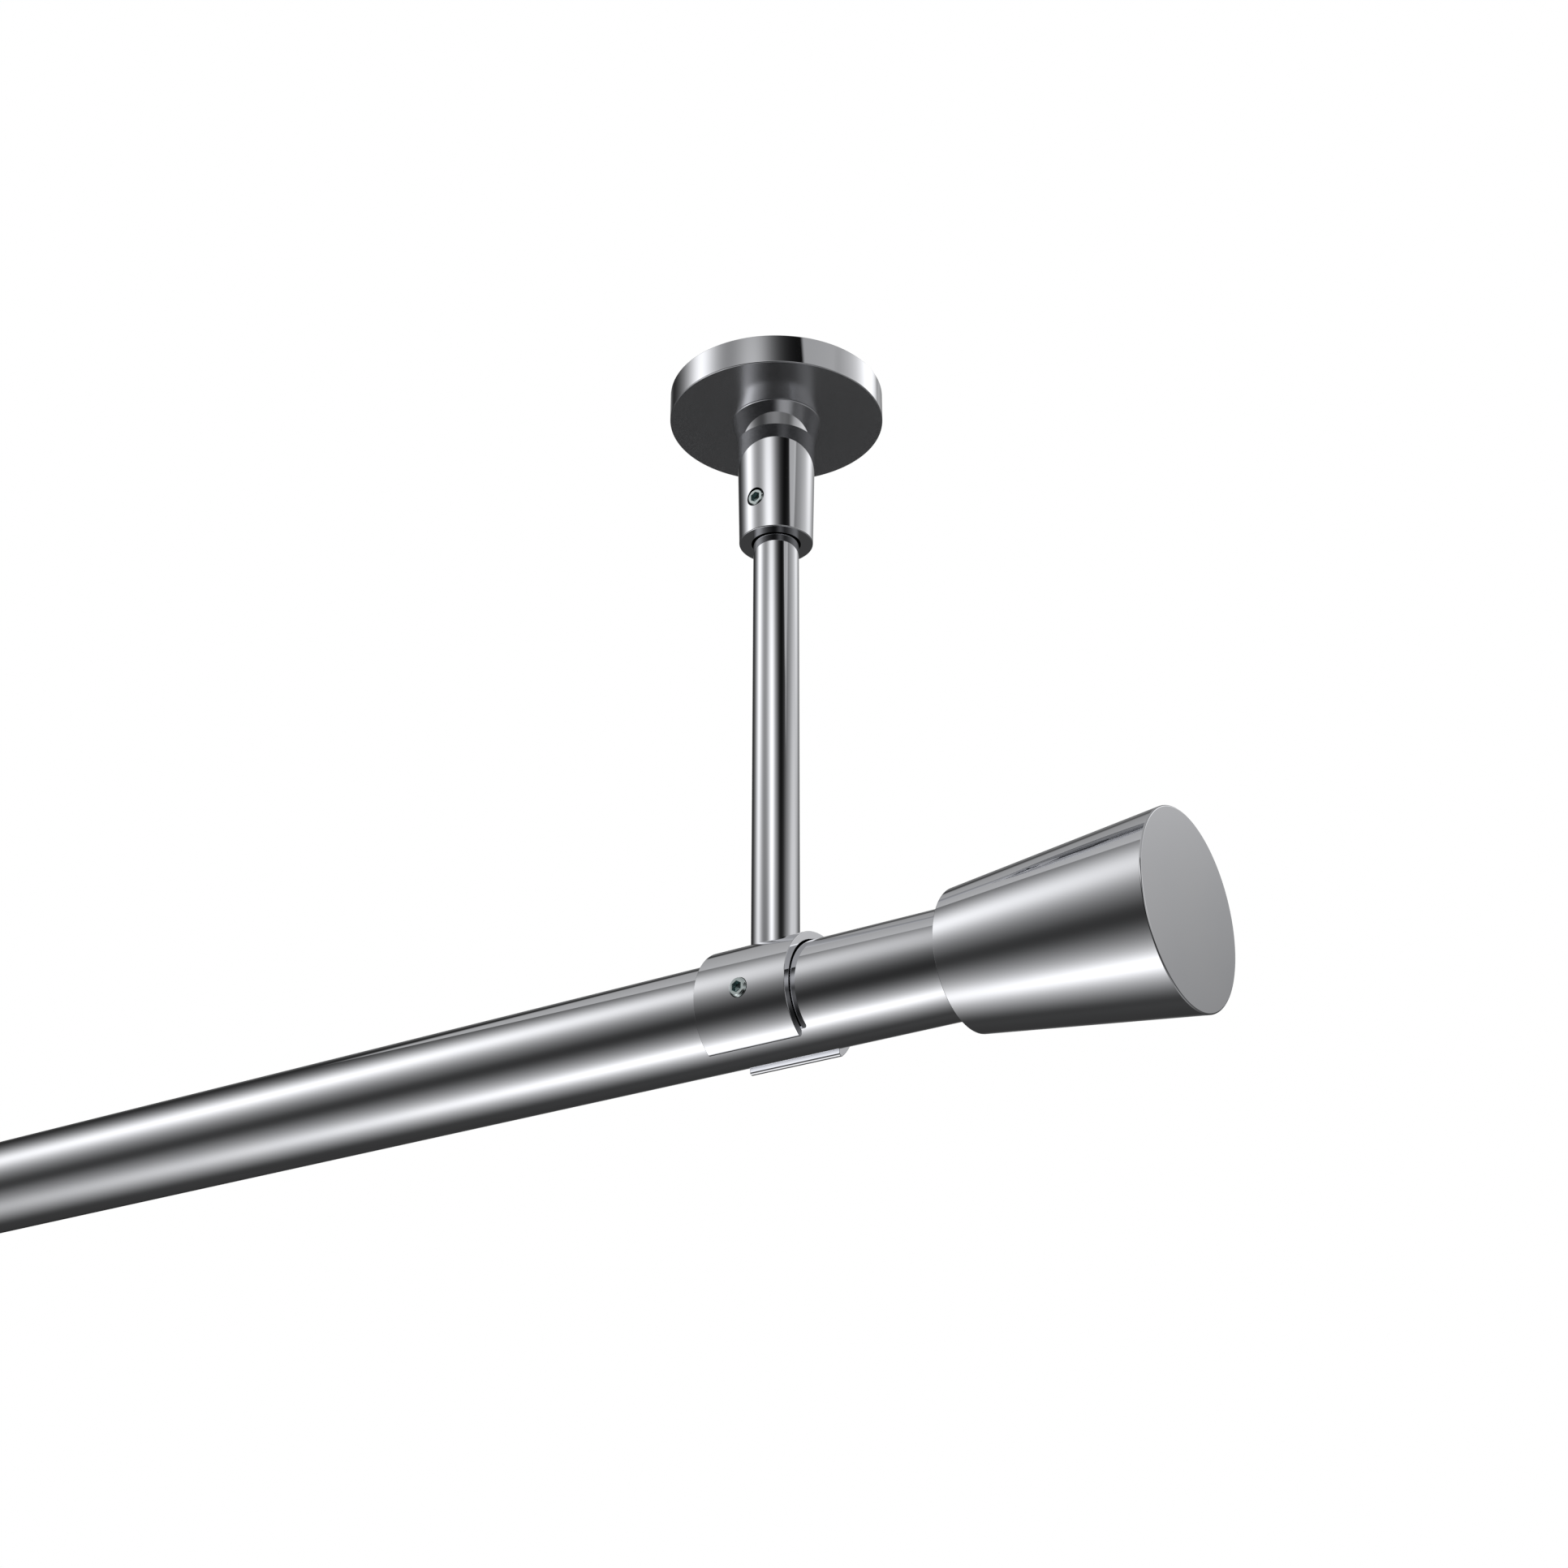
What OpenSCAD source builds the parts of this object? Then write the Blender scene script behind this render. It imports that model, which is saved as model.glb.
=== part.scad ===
// Ceiling-hung curtain rod: a round pole held by two brackets, with a conical finial at each end.
// Millimetres. The origin is the middle of the right bracket's ceiling face, +X runs along the pole
// towards the right finial, +Z points up at the ceiling, and -Y faces the room.

/* [Layout] */
// Height from the ceiling down to the pole's axis
drop = 184; // [130:1:400]
// Distance from the middle of each bracket to the mouth of its finial
bracket_inset = 57; // [30:1:200]

/* [Pole] */
// Outside diameter of the pole
pole_d = 28; // [24:0.5:35]
// Wall of the pole
pole_wall = 1; // [0.8:0.1:1.5]
// Length of the pole's tube
pole_len = 1200; // [600:10:2400]

/* [Rose] */
// Diameter of the rose
rose_d = 60.2; // [54:0.1:80]
// Height of the rose below the ceiling
rose_h = 8.8; // [8:0.1:16]
// Thickness of the rose's rim
rose_rim = 1.3; // [0.8:0.1:2]
// Thickness of the rose's floor
rose_floor = 1.5; // [1:0.1:2]
// Rounding of the rose's lower edge
rose_edge = 0.35; // [0.2:0.05:0.8]

/* [Mounting plate] */
// Thickness of the plate
plate_t = 3; // [2.5:0.1:4]
// Gap between the plate's edge and the rose's rim
plate_gap = 0.4; // [0.2:0.1:1]
// Diameter of the holes for the ceiling screws
plate_hole_d = 4.8; // [4:0.1:5.5]
// Diameter of the countersinks of those holes
plate_sink_d = 9; // [8:0.1:10]
// Number of ceiling screws
plate_hole_count = 3; // [2:1:4]
// Distance from the middle of those holes to the plate's edge
plate_hole_edge = 8.4; // [6:0.1:9.5]
// Diameter of the threaded boss under the plate
boss_d = 16; // [13:0.1:17]
// Metal left between the stud's hole and the ceiling
plate_skin = 1; // [0.6:0.1:1.5]

/* [Stud] */
// Diameter of the stud that joins plate and collar
stud_d = 8; // [6:0.5:10]
// Bevel on the stud's ends
stud_bevel = 0.8; // [0.3:0.1:1.2]
// Gap between each end of the stud and its hole's end
stud_end_gap = 0.3; // [0.1:0.1:1]
// Metal left between the stud's hole and the rod's bore
stud_web = 1.6; // [1:0.1:2.2]

/* [Collar] */
// Length of the collar's tapered sleeve
collar_len = 32.7; // [26:0.1:60]
// Wall of the sleeve at its mouth
collar_wall = 3.4; // [2.5:0.1:5]
// Growth of the sleeve's radius from the mouth to its top
collar_taper = 0.72; // [0:0.02:1.5]
// Metal of the sleeve above the rod's bore
collar_roof = 2.7; // [2:0.1:4]
// Bevel on the edge of the sleeve's mouth
collar_edge = 0.3; // [0.1:0.05:0.5]
// Length of the flare that holds the rose up
flare_len = 7.2; // [5:0.1:12]
// Growth of the flare's radius from the sleeve's top to its lip
flare_growth = 1.39; // [0.8:0.01:3]
// Height of the lip at the flare's end
flare_lip = 0.2; // [0.1:0.05:0.5]
// Distance that the lip stands out from the flare
flare_lip_out = 0.3; // [0.1:0.05:1]

/* [Hanger rod] */
// Diameter of the hanger rod
rod_d = 12.6; // [11:0.1:16]
// Gap all round between the rod and the collar's bore
rod_gap = 0.5; // [0.2:0.1:0.8]
// Room above the rod for raising the pole
rod_headroom = 3; // [1:0.1:5]
// Bevel on the rod's top edge
rod_bevel = 0.6; // [0.2:0.1:1]

/* [Clamp] */
// Length of the clamp along the pole
clamp_len = 27.5; // [20:0.5:40]
// Wall of the clamp
clamp_wall = 2.05; // [1.6:0.05:3]
// Gap all round between the clamp and the pole
clamp_gap = 0.4; // [0.15:0.05:0.5]
// Width of the opening under the pole
clamp_mouth = 17; // [14:0.1:23]
// Bevel on the edges of the clamp's two lips
clamp_lip_bevel = 0.7; // [0.2:0.05:0.8]

/* [Clamp screw] */
// Diameter of the countersunk screw between clamp and rod
clamp_screw_d = 4; // [3:0.5:5]
// Diameter of its head
clamp_screw_head_d = 7.5; // [7:0.1:9]
// Thickness of the head's upright rim
clamp_screw_rim = 0.3; // [0.1:0.1:0.5]
// Length of the screw
clamp_screw_len = 16; // [12:1:25]
// Width across the flats of its socket
clamp_screw_hex = 2.5; // [2:0.5:3]
// Depth of its socket
clamp_screw_hex_depth = 1.5; // [1:0.1:1.8]
// Gap between the head and the pole
clamp_screw_gap = 0.15; // [0.1:0.05:0.2]

/* [Grub screws] */
// Diameter of the grub screws
grub_d = 5; // [4:0.5:6]
// Width across the flats of their sockets
grub_hex = 2.5; // [2:0.1:2.8]
// Depth of their sockets
grub_hex_depth = 1.4; // [1:0.1:1.5]
// Bevel on their outer ends
grub_bevel = 0.4; // [0.2:0.05:0.6]
// Length of the cone at their tips
grub_point = 0.6; // [0.3:0.1:0.7]
// Gap between each tip and the rod or pole that it presses
grub_tip_gap = 0.05; // [0.02:0.01:0.1]
// Height of the collar's grub screw above the sleeve's mouth
collar_grub_up = 10.3; // [8:0.1:14]
// Depth of that screw's outer end below the sleeve's surface
collar_grub_sunk = 0.1; // [0:0.05:0.5]
// Amount by which the clamp's grub screw stands out of the clamp
clamp_grub_proud = 0.75; // [0.3:0.05:1.5]

/* [Finial] */
// Length of the finial
finial_len = 57.8; // [50:0.1:90]
// Metal round the pole at the finial's mouth
finial_mouth_wall = 3.9; // [2.5:0.1:7]
// Growth of the finial's radius from its mouth to its flat end
finial_growth = 6.55; // [0:0.05:12]
// Bevel on the finial's edges
finial_edge = 0.25; // [0.1:0.05:0.6]
// Depth of the seat that takes the pole's end
seat_depth = 12; // [8:0.5:16]
// Gap all round between that seat and the pole
seat_gap = 0.15; // [0.1:0.05:0.3]

/* [Finial plug] */
// Length of the ribbed stem inside the pole
stem_len = 30; // [24:1:45]
// Diameter of the stem between its ribs
stem_core_d = 18; // [15:0.5:19]
// Number of ribs
rib_count = 8; // [4:1:12]
// Thickness of each rib
rib_t = 1.6; // [1:0.1:2.5]
// Gap between the ribs and the pole's bore
rib_gap = 0.1; // [0.05:0.05:0.3]
// Length of the lead-in at the stem's end
lead_in = 2; // [1:0.5:4]
// Thickness of the flange between the pole's end and the seat
flange_t = 1.5; // [1:0.1:3]
// Diameter of the spigot that centres the plug in the finial
spigot_d = 18; // [14:0.5:20]
// Length of that spigot
spigot_len = 10; // [6:0.5:12]

/* [Finial screw] */
// Diameter of the screw that holds the plug to the finial
finial_screw_d = 6; // [5:0.5:6]
// Thread's grip in the finial, past the spigot
finial_screw_grip = 10; // [7:0.5:14]
// Diameter of its head
finial_screw_head_d = 10; // [9:0.5:11]
// Height of its head
finial_screw_head_h = 6; // [5:0.5:7]
// Width across the flats of its socket
finial_screw_hex = 5; // [4:0.5:5]
// Depth of its socket
finial_screw_hex_depth = 3; // [2:0.1:3.5]

/* [Clearances] */
// Gap all round between a screw's thread and its hole
thread_gap = 0.05; // [0.02:0.01:0.1]
// Gap all round between a screw and a plain hole that it passes through
plain_gap = 0.2; // [0.1:0.05:0.4]
// Gap between two fixed pieces that meet end to end
seat_clear = 0.1; // [0.05:0.05:0.2]

/* [Hidden] */
$fn = 96;
// Overshoot of a cut past the surface that it opens
cut = 1;
chrome = [0.78, 0.79, 0.8];
zinc = [0.62, 0.67, 0.67];
steel = [0.55, 0.56, 0.58];
nylon = [0.2, 0.2, 0.21];

// Heights of the bracket's levels, from the ceiling down
boss_hole_depth = rose_h - rose_floor - plate_skin;
flare_z = -rose_h;
sleeve_z = flare_z - flare_len;
mouth_z = sleeve_z - collar_len;
bore_end_z = sleeve_z - collar_roof;
rod_top_z = bore_end_z - rod_headroom;

// Rose and plate
rose_r = rose_d / 2;
plate_r = rose_r - rose_rim - plate_gap;
hole_circle_r = plate_r - plate_hole_edge;
stud_hole_r = stud_d / 2 + thread_gap;
stud_hole_depth = flare_len + collar_roof - stud_web;
stud_top_z = -plate_skin - stud_end_gap;
stud_len = boss_hole_depth + rose_floor + stud_hole_depth - 2 * stud_end_gap;

// Collar and rod
rod_r = rod_d / 2;
bore_r = rod_r + rod_gap;
mouth_r = bore_r + collar_wall;
sleeve_top_r = mouth_r + collar_taper;
flare_r = sleeve_top_r + flare_growth;
lip_r = flare_r + flare_lip_out;
sleeve_r_at_grub = mouth_r + collar_taper * collar_grub_up / collar_len;
collar_grub_z = mouth_z + collar_grub_up;
collar_grub_face = sleeve_r_at_grub - collar_grub_sunk;
collar_grub_tip = rod_r + grub_tip_gap;

// Clamp
pole_r = pole_d / 2;
bore_of_pole_r = pole_r - pole_wall;
clamp_in_r = pole_r + clamp_gap;
clamp_out_r = clamp_in_r + clamp_wall;
clamp_grub_face = clamp_out_r + clamp_grub_proud;
clamp_grub_tip = pole_r + grub_tip_gap;
clamp_screw_z = pole_r + clamp_screw_gap;

// Finial, measured from its mouth
pole_entry = seat_depth - flange_t - seat_clear;
seat_r = pole_r + seat_gap;
finial_mouth_r = seat_r + finial_mouth_wall;
finial_end_r = finial_mouth_r + finial_growth;
stem_start = seat_depth - flange_t - stem_len;
screw_seat = stem_start + finial_screw_head_h + seat_clear;
screw_tip = seat_depth + spigot_len + finial_screw_grip;

// Places along the pole
bracket_span = pole_len - 2 * (bracket_inset + pole_entry);
pole_start = -bracket_span - bracket_inset - pole_entry;
pole_middle = -bracket_span / 2;

// Puts a bracket piece at the right bracket
module at_right() {
    children();
}

// Puts a bracket piece at the left bracket
module at_left() {
    translate([-bracket_span, 0, 0]) children();
}

// Lays a piece that is drawn up +Z from its mouth along the pole, starting at the right finial's mouth
module at_right_end() {
    translate([bracket_inset, 0, -drop]) rotate([0, 90, 0]) children();
}

// The same at the left end, facing the other way
module at_left_end() {
    translate([2 * pole_middle, 0, 0]) mirror([1, 0, 0]) at_right_end() children();
}

// Turns a piece that is drawn up +Z so that it points at the room, along -Y
module facing_room() {
    rotate([90, 0, 0]) children();
}

// A plain shaft with bevelled ends
module bevelled_shaft(r, len, bottom_bevel, top_bevel) {
    rotate_extrude()
        polygon([
            [0, 0],
            [r - bottom_bevel, 0],
            [r, bottom_bevel],
            [r, len - top_bevel],
            [r - top_bevel, len],
            [0, len]
        ]);
}

// A six-sided socket, sunk from the height given
module hex_socket(across_flats, depth, top) {
    translate([0, 0, top - depth])
        cylinder(r = across_flats / 2 / cos(30), h = depth + cut, $fn = 6);
}

// A grub screw that points up +Z: cup point at the lower end, socket at the upper end.
// The socket's corners point up and down once the screw faces the room.
module grub_screw(tip, face) {
    len = face - tip;
    cup_r = grub_d / 2 - grub_point - grub_bevel;
    color(zinc)
        translate([0, 0, tip])
            difference() {
                bevelled_shaft(grub_d / 2, len, grub_point, grub_bevel);
                rotate(30) hex_socket(grub_hex, grub_hex_depth, len);
                translate([0, 0, -cup_r / 2])
                    cylinder(r1 = cup_r * 2, r2 = 0, h = cup_r);
            }
}

// The threaded hole of a grub screw, with its bevelled edge at the surface
module grub_hole(from, surface) {
    hole_r = grub_d / 2 + thread_gap;
    translate([0, 0, from]) cylinder(r = hole_r, h = surface - from + cut);
    translate([0, 0, surface - plain_gap])
        cylinder(r1 = hole_r, r2 = hole_r + plain_gap + cut, h = plain_gap + cut);
}

// Rose: a shallow cup, open at the ceiling, with a hole for the stud
module rose() {
    color(chrome)
        difference() {
            translate([0, 0, -rose_h])
                rotate_extrude() {
                    square([rose_r - rose_edge, rose_edge]);
                    translate([0, rose_edge]) square([rose_r, rose_h - rose_edge]);
                    translate([rose_r - rose_edge, rose_edge]) circle(r = rose_edge);
                }
            translate([0, 0, rose_floor - rose_h]) cylinder(r = rose_r - rose_rim, h = rose_h);
            translate([0, 0, -rose_h - cut]) cylinder(r = stud_d / 2 + plain_gap, h = rose_h);
        }
}

// Mounting plate: a disc with countersunk holes and a blind threaded boss
module mounting_plate() {
    sink_h = (plate_sink_d - plate_hole_d) / 2;
    color(steel)
        difference() {
            union() {
                translate([0, 0, -plate_t]) cylinder(r = plate_r, h = plate_t);
                translate([0, 0, rose_floor - rose_h]) cylinder(r = boss_d / 2, h = rose_h - rose_floor);
            }
            translate([0, 0, rose_floor - rose_h - cut]) cylinder(r = stud_hole_r, h = boss_hole_depth + cut);
            for (i = [0 : plate_hole_count - 1])
                rotate(90 + i * 360 / plate_hole_count)
                    translate([hole_circle_r, 0, -plate_t]) {
                        translate([0, 0, -cut]) cylinder(r = plate_hole_d / 2, h = plate_t + 2 * cut);
                        cylinder(r1 = plate_sink_d / 2, r2 = plate_hole_d / 2, h = sink_h);
                    }
        }
}

// Stud: a headless screw from the plate's boss through the rose into the collar
module stud() {
    color(zinc)
        translate([0, 0, stud_top_z - stud_len])
            bevelled_shaft(stud_d / 2, stud_len, stud_bevel, stud_bevel);
}

// Collar: flare and tapered sleeve, turned in one piece and drawn from the mouth up
module collar() {
    color(chrome)
        difference() {
            translate([0, 0, mouth_z])
                rotate_extrude()
                    polygon([
                        [0, 0],
                        [mouth_r - collar_edge, 0],
                        [mouth_r, collar_edge],
                        [sleeve_top_r, collar_len],
                        [flare_r, collar_len + flare_len - flare_lip],
                        [lip_r, collar_len + flare_len - flare_lip],
                        [lip_r, collar_len + flare_len],
                        [0, collar_len + flare_len]
                    ]);
            translate([0, 0, mouth_z - cut]) cylinder(r = bore_r, h = bore_end_z - mouth_z + cut);
            translate([0, 0, flare_z - stud_hole_depth]) cylinder(r = stud_hole_r, h = stud_hole_depth + cut);
            translate([0, 0, collar_grub_z]) facing_room() grub_hole(rod_r, sleeve_r_at_grub);
        }
}

// Grub screw of the collar, which holds the rod at its height
module collar_grub_screw() {
    translate([0, 0, collar_grub_z]) facing_room() grub_screw(collar_grub_tip, collar_grub_face);
}

// Room taken by the clamp screw and its head, grown by the gaps given
module clamp_screw_room(shank_gap, head_gap) {
    head_r = clamp_screw_head_d / 2 + head_gap;
    shank_r = clamp_screw_d / 2 + shank_gap;
    cone_h = head_r - shank_r;
    translate([0, 0, clamp_screw_z - drop]) {
        translate([0, 0, -cut]) cylinder(r = head_r, h = clamp_screw_rim + cut);
        translate([0, 0, clamp_screw_rim]) cylinder(r1 = head_r, r2 = shank_r, h = cone_h);
        cylinder(r = shank_r, h = clamp_screw_len + seat_clear);
    }
}

// Hanger rod: coped at its foot to lie on the clamp
module hanger_rod() {
    color(chrome)
        difference() {
            translate([0, 0, -drop]) bevelled_shaft(rod_r, drop + rod_top_z, 0, rod_bevel);
            translate([-rod_d, 0, -drop]) rotate([0, 90, 0]) cylinder(r = clamp_out_r, h = 2 * rod_d);
            clamp_screw_room(thread_gap, thread_gap);
        }
}

// Clamp: a band round the pole, open below, with the seat of its screw and its grub screw's hole
module clamp() {
    reach = 2 * clamp_out_r;
    mouth_half = clamp_mouth / 2;
    lip_in = sqrt(clamp_in_r * clamp_in_r - mouth_half * mouth_half);
    lip_out = sqrt(clamp_out_r * clamp_out_r - mouth_half * mouth_half);
    color(chrome)
        difference() {
            translate([-clamp_len / 2, 0, -drop])
                rotate([0, 90, 0])
                    difference() {
                        cylinder(r = clamp_out_r, h = clamp_len);
                        translate([0, 0, -cut]) cylinder(r = clamp_in_r, h = clamp_len + 2 * cut);
                        translate([0, 0, -cut])
                            linear_extrude(height = clamp_len + 2 * cut)
                                polygon([
                                    [0, -mouth_half - 1.36 * clamp_lip_bevel],
                                    [lip_in - 1.67 * clamp_lip_bevel, -mouth_half - 1.36 * clamp_lip_bevel],
                                    [lip_in + clamp_lip_bevel, -mouth_half],
                                    [lip_out - clamp_lip_bevel, -mouth_half],
                                    [lip_out + 0.47 * clamp_lip_bevel, -mouth_half - 2.61 * clamp_lip_bevel],
                                    [reach, -mouth_half - 2.61 * clamp_lip_bevel],
                                    [reach, mouth_half + 2.61 * clamp_lip_bevel],
                                    [lip_out + 0.47 * clamp_lip_bevel, mouth_half + 2.61 * clamp_lip_bevel],
                                    [lip_out - clamp_lip_bevel, mouth_half],
                                    [lip_in + clamp_lip_bevel, mouth_half],
                                    [lip_in - 1.67 * clamp_lip_bevel, mouth_half + 1.36 * clamp_lip_bevel],
                                    [0, mouth_half + 1.36 * clamp_lip_bevel]
                                ]);
                    }
            clamp_screw_room(plain_gap, thread_gap);
            translate([0, 0, -drop]) facing_room() grub_hole(pole_r, clamp_out_r);
        }
}

// Clamp screw: countersunk, its head inside the clamp and its shank in the rod
module clamp_screw() {
    head_r = clamp_screw_head_d / 2;
    shank_r = clamp_screw_d / 2;
    cone_top = clamp_screw_rim + head_r - shank_r;
    color(zinc)
        translate([0, 0, clamp_screw_z - drop])
            difference() {
                rotate_extrude()
                    polygon([
                        [0, 0],
                        [head_r, 0],
                        [head_r, clamp_screw_rim],
                        [shank_r, cone_top],
                        [shank_r, clamp_screw_len],
                        [0, clamp_screw_len]
                    ]);
                mirror([0, 0, 1]) hex_socket(clamp_screw_hex, clamp_screw_hex_depth, 0);
            }
}

// Grub screw of the clamp, which holds the pole from sliding
module clamp_grub_screw() {
    translate([0, 0, -drop]) facing_room() grub_screw(clamp_grub_tip, clamp_grub_face);
}

// Pole: a plain round tube
module pole() {
    color(chrome)
        translate([pole_start, 0, -drop])
            rotate([0, 90, 0])
                difference() {
                    cylinder(r = pole_r, h = pole_len);
                    translate([0, 0, -cut]) cylinder(r = bore_of_pole_r, h = pole_len + 2 * cut);
                }
}

// Finial: a turned cone with a flat end, bored for the pole, the plug's spigot and its screw
module finial() {
    color(chrome)
        difference() {
            rotate_extrude()
                polygon([
                    [0, 0],
                    [finial_mouth_r - finial_edge, 0],
                    [finial_mouth_r, finial_edge],
                    [finial_end_r, finial_len - finial_edge],
                    [finial_end_r - finial_edge, finial_len],
                    [0, finial_len]
                ]);
            translate([0, 0, -cut]) cylinder(r = seat_r, h = seat_depth + cut);
            cylinder(r = spigot_d / 2 + thread_gap, h = seat_depth + spigot_len + seat_clear);
            cylinder(r = finial_screw_d / 2 + thread_gap, h = screw_tip + seat_clear);
        }
}

// Finial plug: ribbed stem for the pole, flange, and spigot for the finial
module finial_plug() {
    rib_r = bore_of_pole_r - rib_gap;
    color(nylon)
        difference() {
            union() {
                intersection() {
                    union() {
                        translate([0, 0, stem_start]) cylinder(r = stem_core_d / 2, h = stem_len);
                        for (i = [0 : rib_count - 1])
                            rotate(i * 360 / rib_count)
                                translate([0, -rib_t / 2, stem_start]) cube([rib_r, rib_t, stem_len]);
                    }
                    translate([0, 0, stem_start]) bevelled_shaft(rib_r, stem_len, lead_in, 0);
                }
                translate([0, 0, seat_depth - flange_t]) cylinder(r = pole_r, h = flange_t);
                translate([0, 0, seat_depth]) cylinder(r = spigot_d / 2, h = spigot_len);
            }
            translate([0, 0, stem_start - cut])
                cylinder(r = finial_screw_d / 2 + plain_gap, h = seat_depth + spigot_len - stem_start + 2 * cut);
            translate([0, 0, stem_start - cut])
                cylinder(r = finial_screw_head_d / 2 + plain_gap, h = screw_seat - stem_start + cut);
        }
}

// Finial screw: a socket-head screw through the plug into the finial
module finial_screw() {
    head_z = screw_seat - finial_screw_head_h;
    color(zinc)
        difference() {
            union() {
                translate([0, 0, head_z]) cylinder(r = finial_screw_head_d / 2, h = finial_screw_head_h);
                translate([0, 0, head_z]) cylinder(r = finial_screw_d / 2, h = screw_tip - head_z);
            }
            translate([0, 0, head_z])
                mirror([0, 0, 1])
                    hex_socket(finial_screw_hex, finial_screw_hex_depth, 0);
        }
}

pole();
at_right() rose();  // right_rose
at_right() mounting_plate();  // right_mounting_plate
at_right() stud();  // right_stud
at_right() collar();  // right_collar
at_right() collar_grub_screw();  // right_collar_grub_screw
at_right() hanger_rod();  // right_hanger_rod
at_right() clamp();  // right_clamp
at_right() clamp_screw();  // right_clamp_screw
at_right() clamp_grub_screw();  // right_clamp_grub_screw
at_left() rose();  // left_rose
at_left() mounting_plate();  // left_mounting_plate
at_left() stud();  // left_stud
at_left() collar();  // left_collar
at_left() collar_grub_screw();  // left_collar_grub_screw
at_left() hanger_rod();  // left_hanger_rod
at_left() clamp();  // left_clamp
at_left() clamp_screw();  // left_clamp_screw
at_left() clamp_grub_screw();  // left_clamp_grub_screw
at_right_end() finial();  // right_finial
at_right_end() finial_plug();  // right_finial_plug
at_right_end() finial_screw();  // right_finial_screw
at_left_end() finial();  // left_finial
at_left_end() finial_plug();  // left_finial_plug
at_left_end() finial_screw();  // left_finial_screw
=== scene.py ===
"""Looks of a chrome curtain rod that hangs from a ceiling: a pole in two brackets, and a cone at each end.

Shapes are drawn in millimetres, each round its own axis, and then set in their place in the row frame.
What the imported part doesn't show finely enough is made again here, with round edges, threads and sockets.
"""

import math

import bpy
import numpy as np
from mathutils import Matrix, Vector
from mathutils.bvhtree import BVHTree


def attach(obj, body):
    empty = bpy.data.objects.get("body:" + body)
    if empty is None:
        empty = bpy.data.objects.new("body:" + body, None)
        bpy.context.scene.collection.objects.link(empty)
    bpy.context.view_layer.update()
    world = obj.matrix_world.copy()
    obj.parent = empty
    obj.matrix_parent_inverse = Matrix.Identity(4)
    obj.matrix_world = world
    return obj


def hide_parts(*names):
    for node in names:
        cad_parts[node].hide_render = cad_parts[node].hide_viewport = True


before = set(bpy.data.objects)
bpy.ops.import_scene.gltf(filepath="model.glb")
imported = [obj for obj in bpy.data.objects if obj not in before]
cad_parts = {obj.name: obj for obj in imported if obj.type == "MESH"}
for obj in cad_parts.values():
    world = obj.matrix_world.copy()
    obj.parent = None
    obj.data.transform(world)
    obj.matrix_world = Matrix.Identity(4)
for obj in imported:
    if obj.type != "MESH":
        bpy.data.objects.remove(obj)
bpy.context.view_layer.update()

# Sizes are in millimetres. Clearances: round a thread, round a plain screw, and between pieces end to end
MM = 0.001  # in metres
THREAD_GAP, PLAIN_GAP, SEAT_CLEAR = 0.05, 0.2, 0.1

# Cone, measured from its mouth, and the seat in it that takes the pole's end
FINIAL_LEN, FINIAL_MOUTH_WALL, FINIAL_GROWTH = 57.8, 3.9, 6.55
SEAT_DEPTH, SEAT_GAP = 12.0, 0.15

# Plug between pole and cone
STEM_LEN, STEM_R, FLANGE_T, SPIGOT_R, SPIGOT_LEN = 30.0, 9.0, 1.5, 9.0, 10.0
RIB_COUNT, RIB_T, RIB_GAP, RIB_ROOT, RIB_ROUND, LEAD_IN = 8, 1.6, 0.1, 1.5, 0.35, 2.0

# Pole. The right bracket hangs at x = 0, and each cone's mouth lies BRACKET_INSET outside its bracket.
DROP = 184.0
POLE_R, POLE_WALL, POLE_LEN = 14.0, 1.0, 1200.0
BRACKET_INSET = 57.0
POLE_ENTRY = SEAT_DEPTH - FLANGE_T - SEAT_CLEAR
POLE_RIGHT = BRACKET_INSET + POLE_ENTRY
POLE_LEFT = POLE_RIGHT - POLE_LEN
BRACKETS = {"right": 0.0, "left": POLE_LEFT + POLE_RIGHT}
FINIAL_MOUTHS = {"right": BRACKET_INSET, "left": BRACKETS["left"] - BRACKET_INSET}
POLE_BORE_R = POLE_R - POLE_WALL
SEAT_R = POLE_R + SEAT_GAP
FINIAL_MOUTH_R = SEAT_R + FINIAL_MOUTH_WALL
FINIAL_END_R = FINIAL_MOUTH_R + FINIAL_GROWTH
RIB_R = POLE_BORE_R - RIB_GAP
STEM_START = SEAT_DEPTH - FLANGE_T - STEM_LEN

# Screw between plug and cone
FINIAL_SCREW_R, FINIAL_SCREW_GRIP, FINIAL_SCREW_PLAIN = 3.0, 10.0, 16.0
FINIAL_SCREW_PITCH, FINIAL_SCREW_THREAD, FINIAL_SCREW_BEVEL = 1.0, 0.5, 0.5
SCREW_HEAD_R, SCREW_HEAD_H, SCREW_HEX, SCREW_HEX_DEPTH, SCREW_HEX_POINT = 5.0, 6.0, 5.0, 3.0, 0.6
KNURL_COUNT, KNURL_DEPTH, KNURL_BEVEL = 32, 0.15, 0.5
FINIAL_SCREW_TIP = SEAT_DEPTH + SPIGOT_LEN + FINIAL_SCREW_GRIP
SCREW_SEAT = STEM_START + SCREW_HEAD_H + SEAT_CLEAR

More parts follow.
